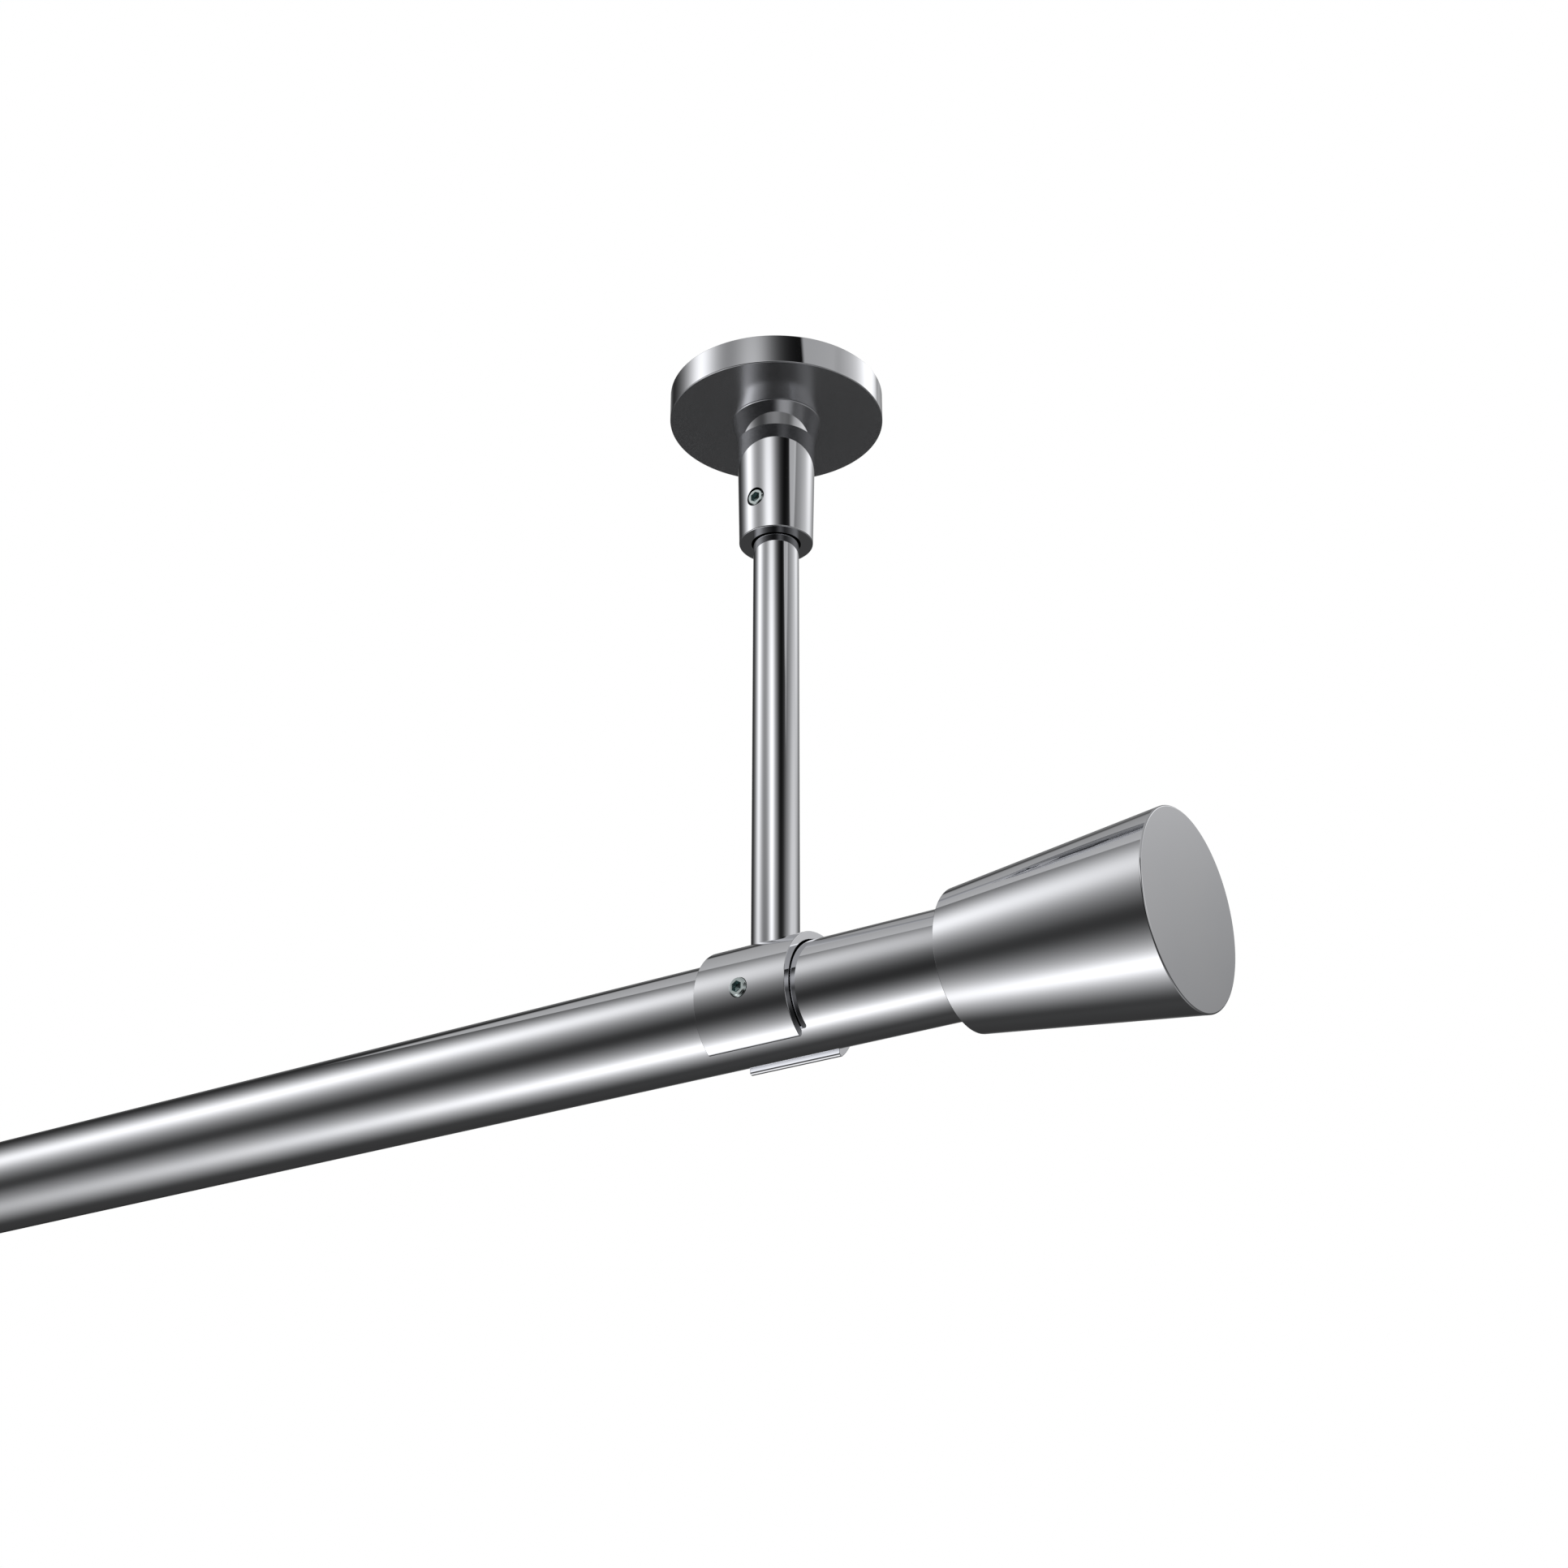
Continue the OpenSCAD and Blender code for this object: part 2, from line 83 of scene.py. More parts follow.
# Rose, rod and collar. Under the rose the collar has a thin lip, then a flare and a tapered sleeve.
ROSE_R, ROSE_H, ROSE_RIM, ROSE_FLOOR, ROSE_HOLE_R = 30.1, 8.8, 1.3, 1.5, 4.2
ROD_R, ROD_GAP, ROD_HEADROOM = 6.3, 0.5, 3.0
SLEEVE_LEN, SLEEVE_WALL, SLEEVE_TAPER, SLEEVE_ROOF = 32.7, 3.4, 0.72, 2.7
FLARE_LEN, FLARE_GROWTH, LIP_H, LIP_OUT = 7.2, 1.39, 0.2, 0.3
FLARE_Z = -ROSE_H
SLEEVE_TOP_Z = FLARE_Z - FLARE_LEN
MOUTH_Z = SLEEVE_TOP_Z - SLEEVE_LEN
BORE_R = ROD_R + ROD_GAP
BORE_END = SLEEVE_TOP_Z - SLEEVE_ROOF
ROD_TOP = BORE_END - ROD_HEADROOM
MOUTH_R = BORE_R + SLEEVE_WALL
SLEEVE_TOP_R = MOUTH_R + SLEEVE_TAPER
FLARE_R = SLEEVE_TOP_R + FLARE_GROWTH
LIP_R = FLARE_R + LIP_OUT

# Stud between the ceiling plate and the collar
PLATE_SKIN = 1.0
STUD_R, STUD_END_GAP, STUD_WEB, STUD_PITCH, STUD_THREAD, STUD_BEVEL = 4.0, 0.3, 1.6, 1.25, 0.6, 0.8
STUD_TOP = -PLATE_SKIN - STUD_END_GAP
STUD_HOLE_R = STUD_R + THREAD_GAP
STUD_HOLE_END = BORE_END + STUD_WEB
STUD_FOOT = STUD_HOLE_END + STUD_END_GAP

# Clamp, round the pole's axis, and the countersunk screw between it and the rod
CLAMP_LEN, CLAMP_GAP, CLAMP_WALL, CLAMP_MOUTH = 27.5, 0.4, 2.05, 17.0
CLAMP_RIM_ROUND, CLAMP_LIP_ROUND_OUT, CLAMP_LIP_ROUND_IN = 0.16, 0.8, 0.35
CLAMP_IN = POLE_R + CLAMP_GAP
CLAMP_OUT = CLAMP_IN + CLAMP_WALL
CLAMP_HALF = CLAMP_LEN / 2
CLAMP_SCREW_R, CLAMP_SCREW_HEAD_R, CLAMP_SCREW_RIM = 2.0, 3.75, 0.3
CLAMP_SCREW_LEN, CLAMP_SCREW_GAP = 16.0, 0.15
CLAMP_SCREW_Z = POLE_R + CLAMP_SCREW_GAP

# Grub screws. A hole is cut from inside the hollow, and its mouth is a little wider than its thread.
GRUB_R, GRUB_PITCH, GRUB_THREAD, GRUB_POINT, GRUB_BEVEL, GRUB_TIP_GAP = 2.5, 0.8, 0.36, 0.6, 0.4, 0.05
GRUB_HEX, GRUB_HEX_DEPTH, GRUB_HEX_POINT, GRUB_HEX_BEVEL = 2.5, 1.4, 0.35, 0.13
GRUB_MOUTH_DEPTH, COLLAR_GRUB_MOUTH_R, CLAMP_GRUB_MOUTH_R = 0.55, 2.78, 2.66
COLLAR_GRUB_UP, COLLAR_GRUB_SUNK, CLAMP_GRUB_PROUD = 10.3, 0.1, 0.75
COLLAR_HOLE_FROM, CLAMP_HOLE_FROM = 4.0, 12.0
COLLAR_GRUB_Z = MOUTH_Z + COLLAR_GRUB_UP
SLEEVE_R_AT_GRUB = round(MOUTH_R + SLEEVE_TAPER * COLLAR_GRUB_UP / SLEEVE_LEN, 3)
COLLAR_GRUB_FACE = SLEEVE_R_AT_GRUB - COLLAR_GRUB_SUNK
COLLAR_GRUB_TIP = ROD_R + GRUB_TIP_GAP
CLAMP_GRUB_FACE = CLAMP_OUT + CLAMP_GRUB_PROUD
CLAMP_GRUB_TIP = POLE_R + GRUB_TIP_GAP

# How finely round pieces are drawn
AROUND = 160  # steps round a turned piece
ARC_STEPS = 5  # steps in each rounded edge
ON_AXIS = 1e-9  # radius below which a point lies on the axis
THREAD_ROW = 0.05  # height of a row of points on a grub screw
OVERSHOOT = 1.0  # how far a cutter stands out of the metal
EDGE = 0.01  # how far out of a hole's outline a point still counts as in it


# Turned shapes
def unit(way):
    return way / np.linalg.norm(way)


def right_of(way):
    """The normal on the right-hand side of the way."""
    return np.array([way[1], -way[0]])


def corner_fan(before, point, following, rounding):
    """Points with their normals along the round corner between two straight stretches."""
    into, out = unit(point - before), unit(following - point)
    turn = math.atan2(into[0] * out[1] - into[1] * out[0], into @ out)
    back = rounding * math.tan(abs(turn) / 2)
    side = 1.0 if turn > 0 else -1.0
    centre = point - into * back - side * rounding * right_of(into)
    fan = []
    for k in range(ARC_STEPS + 1):
        cos, sin = math.cos(turn * k / ARC_STEPS), math.sin(turn * k / ARC_STEPS)
        normal = right_of([into[0] * cos - into[1] * sin, into[0] * sin + into[1] * cos])
        fan.append((centre + side * rounding * normal, normal))
    return fan


def rounded_outline(corners, closed):
    """Stretches of an outline: (start, end, normal at start, normal at end).

    Each corner is (radius, height, rounding), with the metal on the left of the way round. A round corner
    becomes a fan of short stretches."""
    points = [np.array(corner[:2], float) for corner in corners]
    count = len(points)
    fans = []
    for i, (point, corner) in enumerate(zip(points, corners)):
        rounding = corner[2] if len(corner) > 2 else 0.0
        loose_end = not closed and i in (0, count - 1)
        if rounding and not loose_end:
            fans.append(corner_fan(points[i - 1], point, points[(i + 1) % count], rounding))
        else:
            fans.append([(point, None)])
    stretches = []
    for i in range(count if closed else count - 1):
        fan = fans[i]
        stretches += [(a, b, na, nb) for (a, na), (b, nb) in zip(fan, fan[1:])]
        start, end = fan[-1][0], fans[(i + 1) % count][0][0]
        normal = right_of(unit(end - start))
        stretches.append((start, end, normal, normal))
    return stretches


def mesh_of(vertices, faces, normals=None):
    mesh = bpy.data.meshes.new("mesh")
    mesh.from_pydata([tuple(v) for v in vertices], [], faces)
    mesh.update()
    if normals is not None:
        mesh.shade_smooth()
        mesh.normals_split_custom_set([tuple(map(float, n)) for n in normals])
    return mesh


def turned(corners, closed=False, steps=AROUND):
    """A piece turned on a lathe: the outline spun round Z, with the true normals of its surfaces."""
    stretches = rounded_outline(corners, closed)
    rings = [stretch[0] for stretch in stretches] + ([] if closed else [stretches[-1][1]])
    angles = np.arange(steps) * 2 * math.pi / steps
    cos, sin = np.cos(angles), np.sin(angles)
    vertices, starts = [], []
    for radius, height in rings:
        starts.append(len(vertices))
        if radius < ON_AXIS:
            vertices.append((0.0, 0.0, height))
        else:
            vertices += [(radius * c, radius * s, height) for c, s in zip(cos, sin)]

    def spun(normal, j):
        return (normal[0] * cos[j], normal[0] * sin[j], normal[1])

    faces, normals = [], []
    for k, (a, b, na, nb) in enumerate(stretches):
        low, high = starts[k], starts[(k + 1) % len(rings)]
        for j in range(steps):
            after = (j + 1) % steps
            if a[0] < ON_AXIS:
                faces.append((low, high + after, high + j))
                normals += [spun(na, j), spun(nb, after), spun(nb, j)]
            elif b[0] < ON_AXIS:
                faces.append((low + j, low + after, high))
                normals += [spun(na, j), spun(na, after), spun(nb, j)]
            else:
                faces.append((low + j, low + after, high + after, high + j))
                normals += [spun(na, j), spun(na, after), spun(nb, after), spun(nb, j)]
    return mesh_of(vertices, faces, normals)


# The clamp's band
def section_arc(centre, radius, start, end, count, way=1):
    """Points (y, z) with normals along an arc, in degrees from the top. With way -1 they face its centre."""
    arc = []
    for k in range(count + 1):
        a = math.radians(start + (end - start) * k / count)
        out = np.array([math.sin(a), math.cos(a)])
        arc.append((centre + radius * out, way * out))
    return arc


def lip_corner(radius, rounding):
    """Middle of a round lip edge that touches the side of the mouth, and the angle at which it lies."""
    y = CLAMP_MOUTH / 2 + rounding
    z = -math.sqrt(radius * radius - y * y)
    return np.array([y, z]), math.degrees(math.atan2(y, z))


def clamp_section(steps):
    """Half of the clamp's section, from its top over the lip and back inside: points (y, z) with normals."""
    middle = np.zeros(2)
    outer, inner = CLAMP_LIP_ROUND_OUT, CLAMP_LIP_ROUND_IN
    low, low_turn = lip_corner(CLAMP_OUT - outer, outer)
    high, high_turn = lip_corner(CLAMP_IN + inner, inner)
    return (section_arc(middle, CLAMP_OUT, 0, low_turn, steps)
            + section_arc(low, outer, low_turn, 270, 2 * ARC_STEPS)[1:]
            + section_arc(high, inner, 270, high_turn + 180, 2 * ARC_STEPS)
            + section_arc(middle, CLAMP_IN, high_turn, 0, steps, -1)[1:])


def band_layers():
    """The section's places along the band: (x, angle of the rim's rounding)."""
    flat_end = CLAMP_HALF - CLAMP_RIM_ROUND
    layers = []
    for k in range(-ARC_STEPS, ARC_STEPS + 1):
        a = math.pi / 2 * k / ARC_STEPS
        if k:
            layers.append((math.copysign(flat_end, k) + CLAMP_RIM_ROUND * math.sin(a), a))
        else:
            layers += [(-flat_end, 0.0), (flat_end, 0.0)]
    return layers


def clamp_band(steps=110):
    """The clamp round X: its section drawn out to both sides, with rounded rims."""
    half = clamp_section(steps)
    loop = half + [(point * (-1, 1), normal * (-1, 1)) for point, normal in half[-2:0:-1]]
    count, last = len(loop), len(half) - 1
    layers = band_layers()
    vertices, directions = [], []
    for x, a in layers:
        for point, normal in loop:
            y, z = point - normal * CLAMP_RIM_ROUND * (1 - math.cos(a))
            vertices.append((x, y, z))
            directions.append((math.sin(a), normal[0] * math.cos(a), normal[1] * math.cos(a)))
    faces, normals = [], []
    for i in range(len(layers) - 1):
        for j in range(count):
            k = (j + 1) % count
            faces.append((i * count + j, (i + 1) * count + j, (i + 1) * count + k, i * count + k))
            normals += [directions[corner] for corner in faces[-1]]
    cap = [tuple(range(steps, last - steps + 1))]
    cap += [(j, j + 1, last - j - 1, last - j) for j in range(steps)]
    for base, way in ((0, -1), ((len(layers) - 1) * count, 1)):
        for side in (1, -1):
            for face in cap:
                ring = tuple(base + (side * j) % count for j in face)
                faces.append(ring if way * side < 0 else ring[::-1])
                normals += [(way, 0.0, 0.0)] * len(ring)
    return mesh_of(vertices, faces, normals)


# Cutting and joining
def scene_object(name, data):
    obj = bpy.data.objects.new(name, data)
    bpy.context.scene.collection.objects.link(obj)
    return obj


def evaluated_mesh(obj):
    """The object's mesh with its modifiers, as a plain mesh of its own. The object goes."""
    bpy.context.view_layer.update()
    graph = bpy.context.evaluated_depsgraph_get()
    mesh = bpy.data.meshes.new_from_object(obj.evaluated_get(graph))
    bpy.data.objects.remove(obj)
    return mesh


class Surface:
    """The finished surface of a mesh, to ask how near it is and how it lies there."""

    def __init__(self, mesh, side):
        mesh.calc_loop_triangles()
        self.points = [v.co.copy() for v in mesh.vertices]
        self.triangles = [tuple(t.vertices) for t in mesh.loop_triangles]
        corner = mesh.corner_normals
        self.normals = [[corner[i].vector * side for i in t.loops] for t in mesh.loop_triangles]
        self.tree = BVHTree.FromPolygons(self.points, self.triangles)

    def near(self, point):
        """Distance to the surface, and its normal at the nearest place."""
        place, _, index, distance = self.tree.find_nearest(point)
        a, b, c = (self.points[i] for i in self.triangles[index])
        whole = (b - a).cross(c - a)
        area = max(whole.length_squared, 1e-18)
        u = (c - b).cross(place - b).dot(whole) / area
        v = (a - c).cross(place - c).dot(whole) / area
        na, nb, nc = self.normals[index]
        return distance, (na * u + nb * v + nc * (1 - u - v)).normalized()


SAME_PLACE = 0.004  # distance at which a face still lies on a source surface
FACE_AGREES, CORNER_AGREES = 0.9, 0.6  # cosines up to which a source's normal fits a face
INWARD = 0.02  # share of the way from a face's corner to its middle at which the corner's normal is asked


def face_middles(mesh):
    """A point that surely lies on each face: the middle of its largest triangle."""
    mesh.calc_loop_triangles()
    largest = {}
    for t in mesh.loop_triangles:
        if t.area > largest.get(t.polygon_index, (0.0,))[0]:
            a, b, c = (mesh.vertices[i].co for i in t.vertices)
            largest[t.polygon_index] = (t.area, (a + b + c) / 3)
    return {index: middle for index, (_, middle) in largest.items()}


def carry_normals(mesh, sources):
    """Gives each corner of the mesh the normal of the source surface that its face lies on."""
    mesh.shade_smooth()
    middles = face_middles(mesh)
    normals = [Vector((0, 0, 1))] * len(mesh.loops)
    for face in mesh.polygons:
        own = face.normal.copy()
        middle = middles.get(face.index, face.center)
        best = None
        for source in sources:
            distance, normal = source.near(middle)
            fit = normal.dot(own)
            if distance < SAME_PLACE and fit > FACE_AGREES and (best is None or fit > best[0]):
                best = (fit, source)
        for corner in face.loop_indices:
            normals[corner] = own
            if best:
                point = mesh.vertices[mesh.loops[corner].vertex_index].co.lerp(middle, INWARD)
                _, normal = best[1].near(point)
                if normal.dot(own) > CORNER_AGREES:
                    normals[corner] = normal
    mesh.normals_split_custom_set(normals)


def joined_solids(kind, blank, *others):
    """The blank with the other solids cut out of it (DIFFERENCE) or added (UNION).

    Each face keeps the smooth normals of the surface that it came from."""
    body = scene_object("blank", blank.copy())
    helpers = []
    for mesh in others:
        helper = scene_object("helper", mesh)
        step = body.modifiers.new("step", "BOOLEAN")
        step.operation, step.solver, step.object = kind, "EXACT", helper
        helpers.append(helper)
    result = evaluated_mesh(body)
    side = -1.0 if kind == "DIFFERENCE" else 1.0
    sources = [Surface(blank, 1.0)] + [Surface(mesh, side) for mesh in others]
    for helper in helpers:
        bpy.data.objects.remove(helper)
    carry_normals(result, sources)
    return result


def socket_cutter(across_flats, low, high, point, bevel=0.0):
    """A cutter for a hex socket, with a blunt cone at its foot and a bevel where it leaves the metal."""
    sides, half = 6, math.radians(30)
    levels = [(low, 0.0), (high + OVERSHOOT, bevel + OVERSHOOT if bevel else 0.0)]
    if bevel:
        levels.insert(1, (high - bevel, 0.0))
    vertices, faces = [(0, 0, low - point)], []
    for z, wider in levels:
        r = (across_flats / 2 + wider) / math.cos(half)
        turns = [half + 2 * half * j for j in range(sides)]
        vertices += [(r * math.cos(a), r * math.sin(a), z) for a in turns]
    for j in range(sides):
        k = (j + 1) % sides
        faces.append((0, 1 + k, 1 + j))
        for i in range(len(levels) - 1):
            a, b = 1 + i * sides, 1 + (i + 1) * sides
            faces.append((a + j, a + k, b + k, b + j))
    faces.append(tuple(len(vertices) - sides + j for j in range(sides)))
    return mesh_of(vertices, faces)


def hole_cutter(radius, low, high, mouth_r=None):
    """A round cutter up Z. Where it leaves the metal, at height high, it may widen to a shallow mouth."""
    corners = [(0, low), (radius, low)]
    if mouth_r:
        step_z = high - GRUB_MOUTH_DEPTH
        corners += [(radius, step_z), (mouth_r, step_z)]
    corners += [(mouth_r or radius, high + OVERSHOOT), (0, high + OVERSHOOT)]
    return turned(corners, steps=64)


def turned_over(mesh, matrix):
    """A copy of the mesh in another place, with its normals."""
    copy = mesh.copy()
    corner = [c.vector.copy() for c in mesh.corner_normals]
    copy.transform(matrix)
    turn = matrix.to_3x3()
    copy.normals_split_custom_set([(turn @ n).normalized() for n in corner])
    return copy


# Places in the row frame
def along_z(x, z=0.0):
    return Matrix.Translation((x, 0, z))


def facing_room(x, z):
    """A piece drawn up +Z now points at the room, along -Y."""
    return Matrix.Translation((x, 0, z)) @ Matrix.Rotation(math.radians(90), 4, "X")


def along_pole(x, side):
    """A piece drawn up +Z now points away from the pole's middle."""
    turn = 90 if side == "right" else -90
    return Matrix.Translation((x, 0, -DROP)) @ Matrix.Rotation(math.radians(turn), 4, "Y")


def placed(mesh, matrix, name):
    """The mesh as an object at the origin: its points hold its place, in metres, and its normals turn."""
    corner = np.array([c.vector for c in mesh.corner_normals], float)
    turn = np.array(matrix.to_3x3(), float)
    obj = scene_object(name, mesh.copy())
    obj.data.name = name
    obj.data.transform(Matrix.Scale(MM, 4) @ matrix)
    normals = corner @ turn.T
    normals /= np.maximum(np.linalg.norm(normals, axis=1)[:, None], 1e-9)
    obj.data.normals_split_custom_set([tuple(n) for n in normals])
    return obj


# Node trees
class Tree:
    """A node tree, built in few words: add() makes a node and fills its inputs by name or number."""

    def __init__(self, tree):
        self.tree = tree

    def link(self, value, socket):
        self.tree.links.new(value, socket)

    def add(self, kind, inputs=None, out=0, **settings):
        node = self.tree.nodes.new(kind)
        for key, value in settings.items():
            setattr(node, key, value)
        for key, value in (inputs or {}).items():
            if isinstance(value, bpy.types.NodeSocket):
                self.link(value, node.inputs[key])
            else:
                node.inputs[key].default_value = value
        return node.outputs[out]

    def end(self, kind, value):
        """Makes the tree's output node and feeds it the value."""
        self.link(value, self.tree.nodes.new(kind).inputs[0])

    def math(self, operation, a, b=0.0):
        return self.add("ShaderNodeMath", {0: a, 1: b}, operation=operation)

    def vector(self, operation, *inputs, out=0):
        return self.add("ShaderNodeVectorMath", dict(enumerate(inputs)), out=out, operation=operation)

    def ramp(self, value, low, high, to_low=0.0, to_high=1.0, kind="SMOOTHSTEP"):
        inputs = {"Value": value, "From Min": low, "From Max": high, "To Min": to_low, "To Max": to_high}
        return self.add("ShaderNodeMapRange", inputs, interpolation_type=kind)

    def blend(self, amount, colour_a, colour_b):
        return self.add("ShaderNodeMix", {0: amount, 6: colour_a, 7: colour_b}, out=2, data_type="RGBA")

    def split(self, vector):
        """The x, y and z of a vector."""
        return self.add("ShaderNodeSeparateXYZ", {0: vector}).node.outputs

    def combine(self, x, y, z=0.0):
        return self.add("ShaderNodeCombineXYZ", {0: x, 1: y, 2: z})


def blank_nodes(owner):
    """The emptied node tree of a material or a world."""
    owner.use_nodes = True
    owner.node_tree.nodes.clear()
    return Tree(owner.node_tree)


def geometry_tree(name, inputs):
    """A Geometry Nodes tree with inputs for a mesh, for each name with its default, and for a material."""
    tree = bpy.data.node_groups.new(name, "GeometryNodeTree")
    tree.interface.new_socket("Geometry", in_out="INPUT", socket_type="NodeSocketGeometry")
    for label, default in inputs.items():
        kind = "NodeSocketInt" if isinstance(default, int) else "NodeSocketFloat"
        tree.interface.new_socket(label, in_out="INPUT", socket_type=kind).default_value = default
    tree.interface.new_socket("Material", in_out="INPUT", socket_type="NodeSocketMaterial")
    tree.interface.new_socket("Geometry", in_out="OUTPUT", socket_type="NodeSocketGeometry")
    return Tree(tree), tree.nodes.new("NodeGroupInput").outputs


def close_tree(t, geometry, material):
    real = t.add("GeometryNodeRealizeInstances", {"Geometry": geometry})
    t.end("NodeGroupOutput", t.add("GeometryNodeSetMaterial", {"Geometry": real, "Material": material}))
    return t.tree


def run_tree(tree, values, mesh=None):
    """The plain mesh that the tree makes, from the mesh given or from nothing."""
    obj = scene_object("worked", mesh or bpy.data.meshes.new("mesh"))
    step = obj.modifiers.new("nodes", "NODES")
    step.node_group = tree
    for item in tree.interface.items_tree:
        if item.in_out == "INPUT" and item.name in values:
            step[item.identifier] = values[item.name]
    obj.update_tag()
    return evaluated_mesh(obj)


def blank_cylinder(t, around, along, radius, length):
    """A cylinder round its own middle, with x, y and height of its points. Heights count from its foot."""
    sizes = {"Vertices": around, "Side Segments": along, "Radius": radius, "Depth": length}
    blank = t.add("GeometryNodeMeshCylinder", sizes, fill_type="TRIANGLE_FAN").node.outputs
    x, y, z = t.split(t.add("GeometryNodeInputPosition"))
    return blank, x, y, t.math("ADD", z, t.math("MULTIPLY", length, 0.5))


NEAR_AXIS = 1e-4  # a point nearer to the axis than this stays on it


def reshaped(t, blank, x, y, height, radius):
    """The cylinder with each point at its height and at the radius given, smooth all round."""
    across = t.vector("LENGTH", t.combine(x, y), out="Value")
    off_axis = t.math("GREATER_THAN", across, NEAR_AXIS)
    factor = t.math("DIVIDE", radius, t.math("MAXIMUM", across, NEAR_AXIS))
    factor = t.math("ADD", t.math("MULTIPLY", factor, off_axis), t.math("SUBTRACT", 1.0, off_axis))
    moved = t.combine(t.math("MULTIPLY", x, factor), t.math("MULTIPLY", y, factor), height)
    shaped = t.add("GeometryNodeSetPosition", {"Geometry": blank["Mesh"], "Position": moved})
    side = {"Geometry": shaped, "Selection": blank["Side"], "Shade Smooth": True}
    return t.add("GeometryNodeSetShadeSmooth", side)


def thread_tree():
    """A threaded shaft round Z, from height 0 to Length, with a bevel at each end."""
    t, given = geometry_tree("threaded shaft", {
        "Radius": 2.5, "Length": 4.0, "Pitch": 0.8, "Depth": 0.4, "Plain from": 99.0,
        "Foot bevel": 0.4, "Head bevel": 0.4, "Around": 48, "Along": 60})
    full, length = given["Radius"], given["Length"]
    blank, x, y, height = blank_cylinder(t, given["Around"], given["Along"], full, length)
    turn = t.math("DIVIDE", t.math("ARCTAN2", y, x), 2 * math.pi)
    turns_up = t.math("SUBTRACT", t.math("DIVIDE", height, given["Pitch"]), turn)
    phase = t.math("FRACT", t.math("ADD", turns_up, 64.0))
    flank = t.math("ABSOLUTE", t.math("MULTIPLY", t.math("SUBTRACT", phase, 0.5), 2.0))
    ridge = t.ramp(flank, 0.12, 0.9, kind="LINEAR")
    threaded = t.math("LESS_THAN", height, given["Plain from"])
    groove = t.math("MULTIPLY", t.math("SUBTRACT", 1.0, ridge), given["Depth"])
    radius = t.math("SUBTRACT", full, t.math("MULTIPLY", groove, threaded))
    foot = t.math("ADD", t.math("SUBTRACT", full, given["Foot bevel"]), height)
    head = t.math("ADD", t.math("SUBTRACT", full, given["Head bevel"]), length)
    bevels = t.math("MINIMUM", foot, t.math("SUBTRACT", head, height))
    smooth = reshaped(t, blank, x, y, height, t.math("MINIMUM", radius, bevels))
    ends = {"Geometry": smooth, "Selection": t.math("SUBTRACT", 1.0, blank["Side"]), "Shade Smooth": False}
    return close_tree(t, t.add("GeometryNodeSetShadeSmooth", ends), given["Material"])


def ring_tree():
    """Copies of the input mesh, turned round Z in even steps."""
    t, given = geometry_tree("ring of copies", {"Count": 8, "First angle": 0.0})
    dots = t.add("GeometryNodePoints", {"Count": given["Count"]})
    step = t.math("DIVIDE", 2 * math.pi, given["Count"])
    angle = t.math("ADD", t.math("MULTIPLY", t.add("GeometryNodeInputIndex"), step), given["First angle"])
    copies = t.add("GeometryNodeInstanceOnPoints", {
        "Points": dots, "Instance": given["Geometry"], "Rotation": t.combine(0.0, 0.0, angle)})
    return close_tree(t, copies, given["Material"])


def knurl_tree():
    """A straight-knurled head round Z, from height 0 to Height, with grooves all round and bevelled ends."""
    t, given = geometry_tree("knurled head", {
        "Radius": 5.0, "Height": 6.0, "Grooves": 36, "Depth": 0.18, "Bevel": 0.5})
    full, around = given["Radius"], t.math("MULTIPLY", given["Grooves"], 6.0)
    blank, x, y, height = blank_cylinder(t, around, 24, full, given["Height"])
    wave = t.math("SINE", t.math("MULTIPLY", t.math("ARCTAN2", y, x), given["Grooves"]))
    groove = t.math("MULTIPLY", t.ramp(wave, -0.2, 1.0), given["Depth"])
    inner = t.math("SUBTRACT", full, given["Bevel"])
    radius = t.math("MINIMUM", t.math("SUBTRACT", full, groove), t.math("ADD", inner, height))
    radius = t.math("MINIMUM", radius, t.math("ADD", inner, t.math("SUBTRACT", given["Height"], height)))
    return close_tree(t, reshaped(t, blank, x, y, height, radius), given["Material"])


THREADED = thread_tree()
RING = ring_tree()
KNURLED = knurl_tree()


# Finishes
def finish_named(name, metallic=1.0):
    material = bpy.data.materials.new(name)
    t = blank_nodes(material)
    shader = t.add("ShaderNodeBsdfPrincipled", {"Metallic": metallic})
    t.end("ShaderNodeOutputMaterial", shader)
    return material, t, shader.node.inputs, t.add("ShaderNodeTexCoord", out="Object")


def noise(t, place, scale, detail=3.0):
    grain = {"Vector": place, "Scale": scale, "Detail": detail, "Roughness": 0.55}
    return t.add("ShaderNodeTexNoise", grain)


def coat(t, surface, tone, gloss):
    t.link(tone, surface["Base Color"])
    t.link(gloss, surface["Roughness"])


def bump(t, surface, height, strength, distance):
    normal = t.add("ShaderNodeBump", {"Height": height, "Strength": strength, "Distance": distance})
    t.link(normal, surface["Normal"])


# The rose's underside: rougher and less metallic than the mirror chrome (satin), and darker in tone, which
# is painted shade
SATIN_SHADE_TONE, SATIN_ROUGHNESS, SATIN_METALLIC = (0.575, 0.58, 0.60, 1), 0.16, 0.87


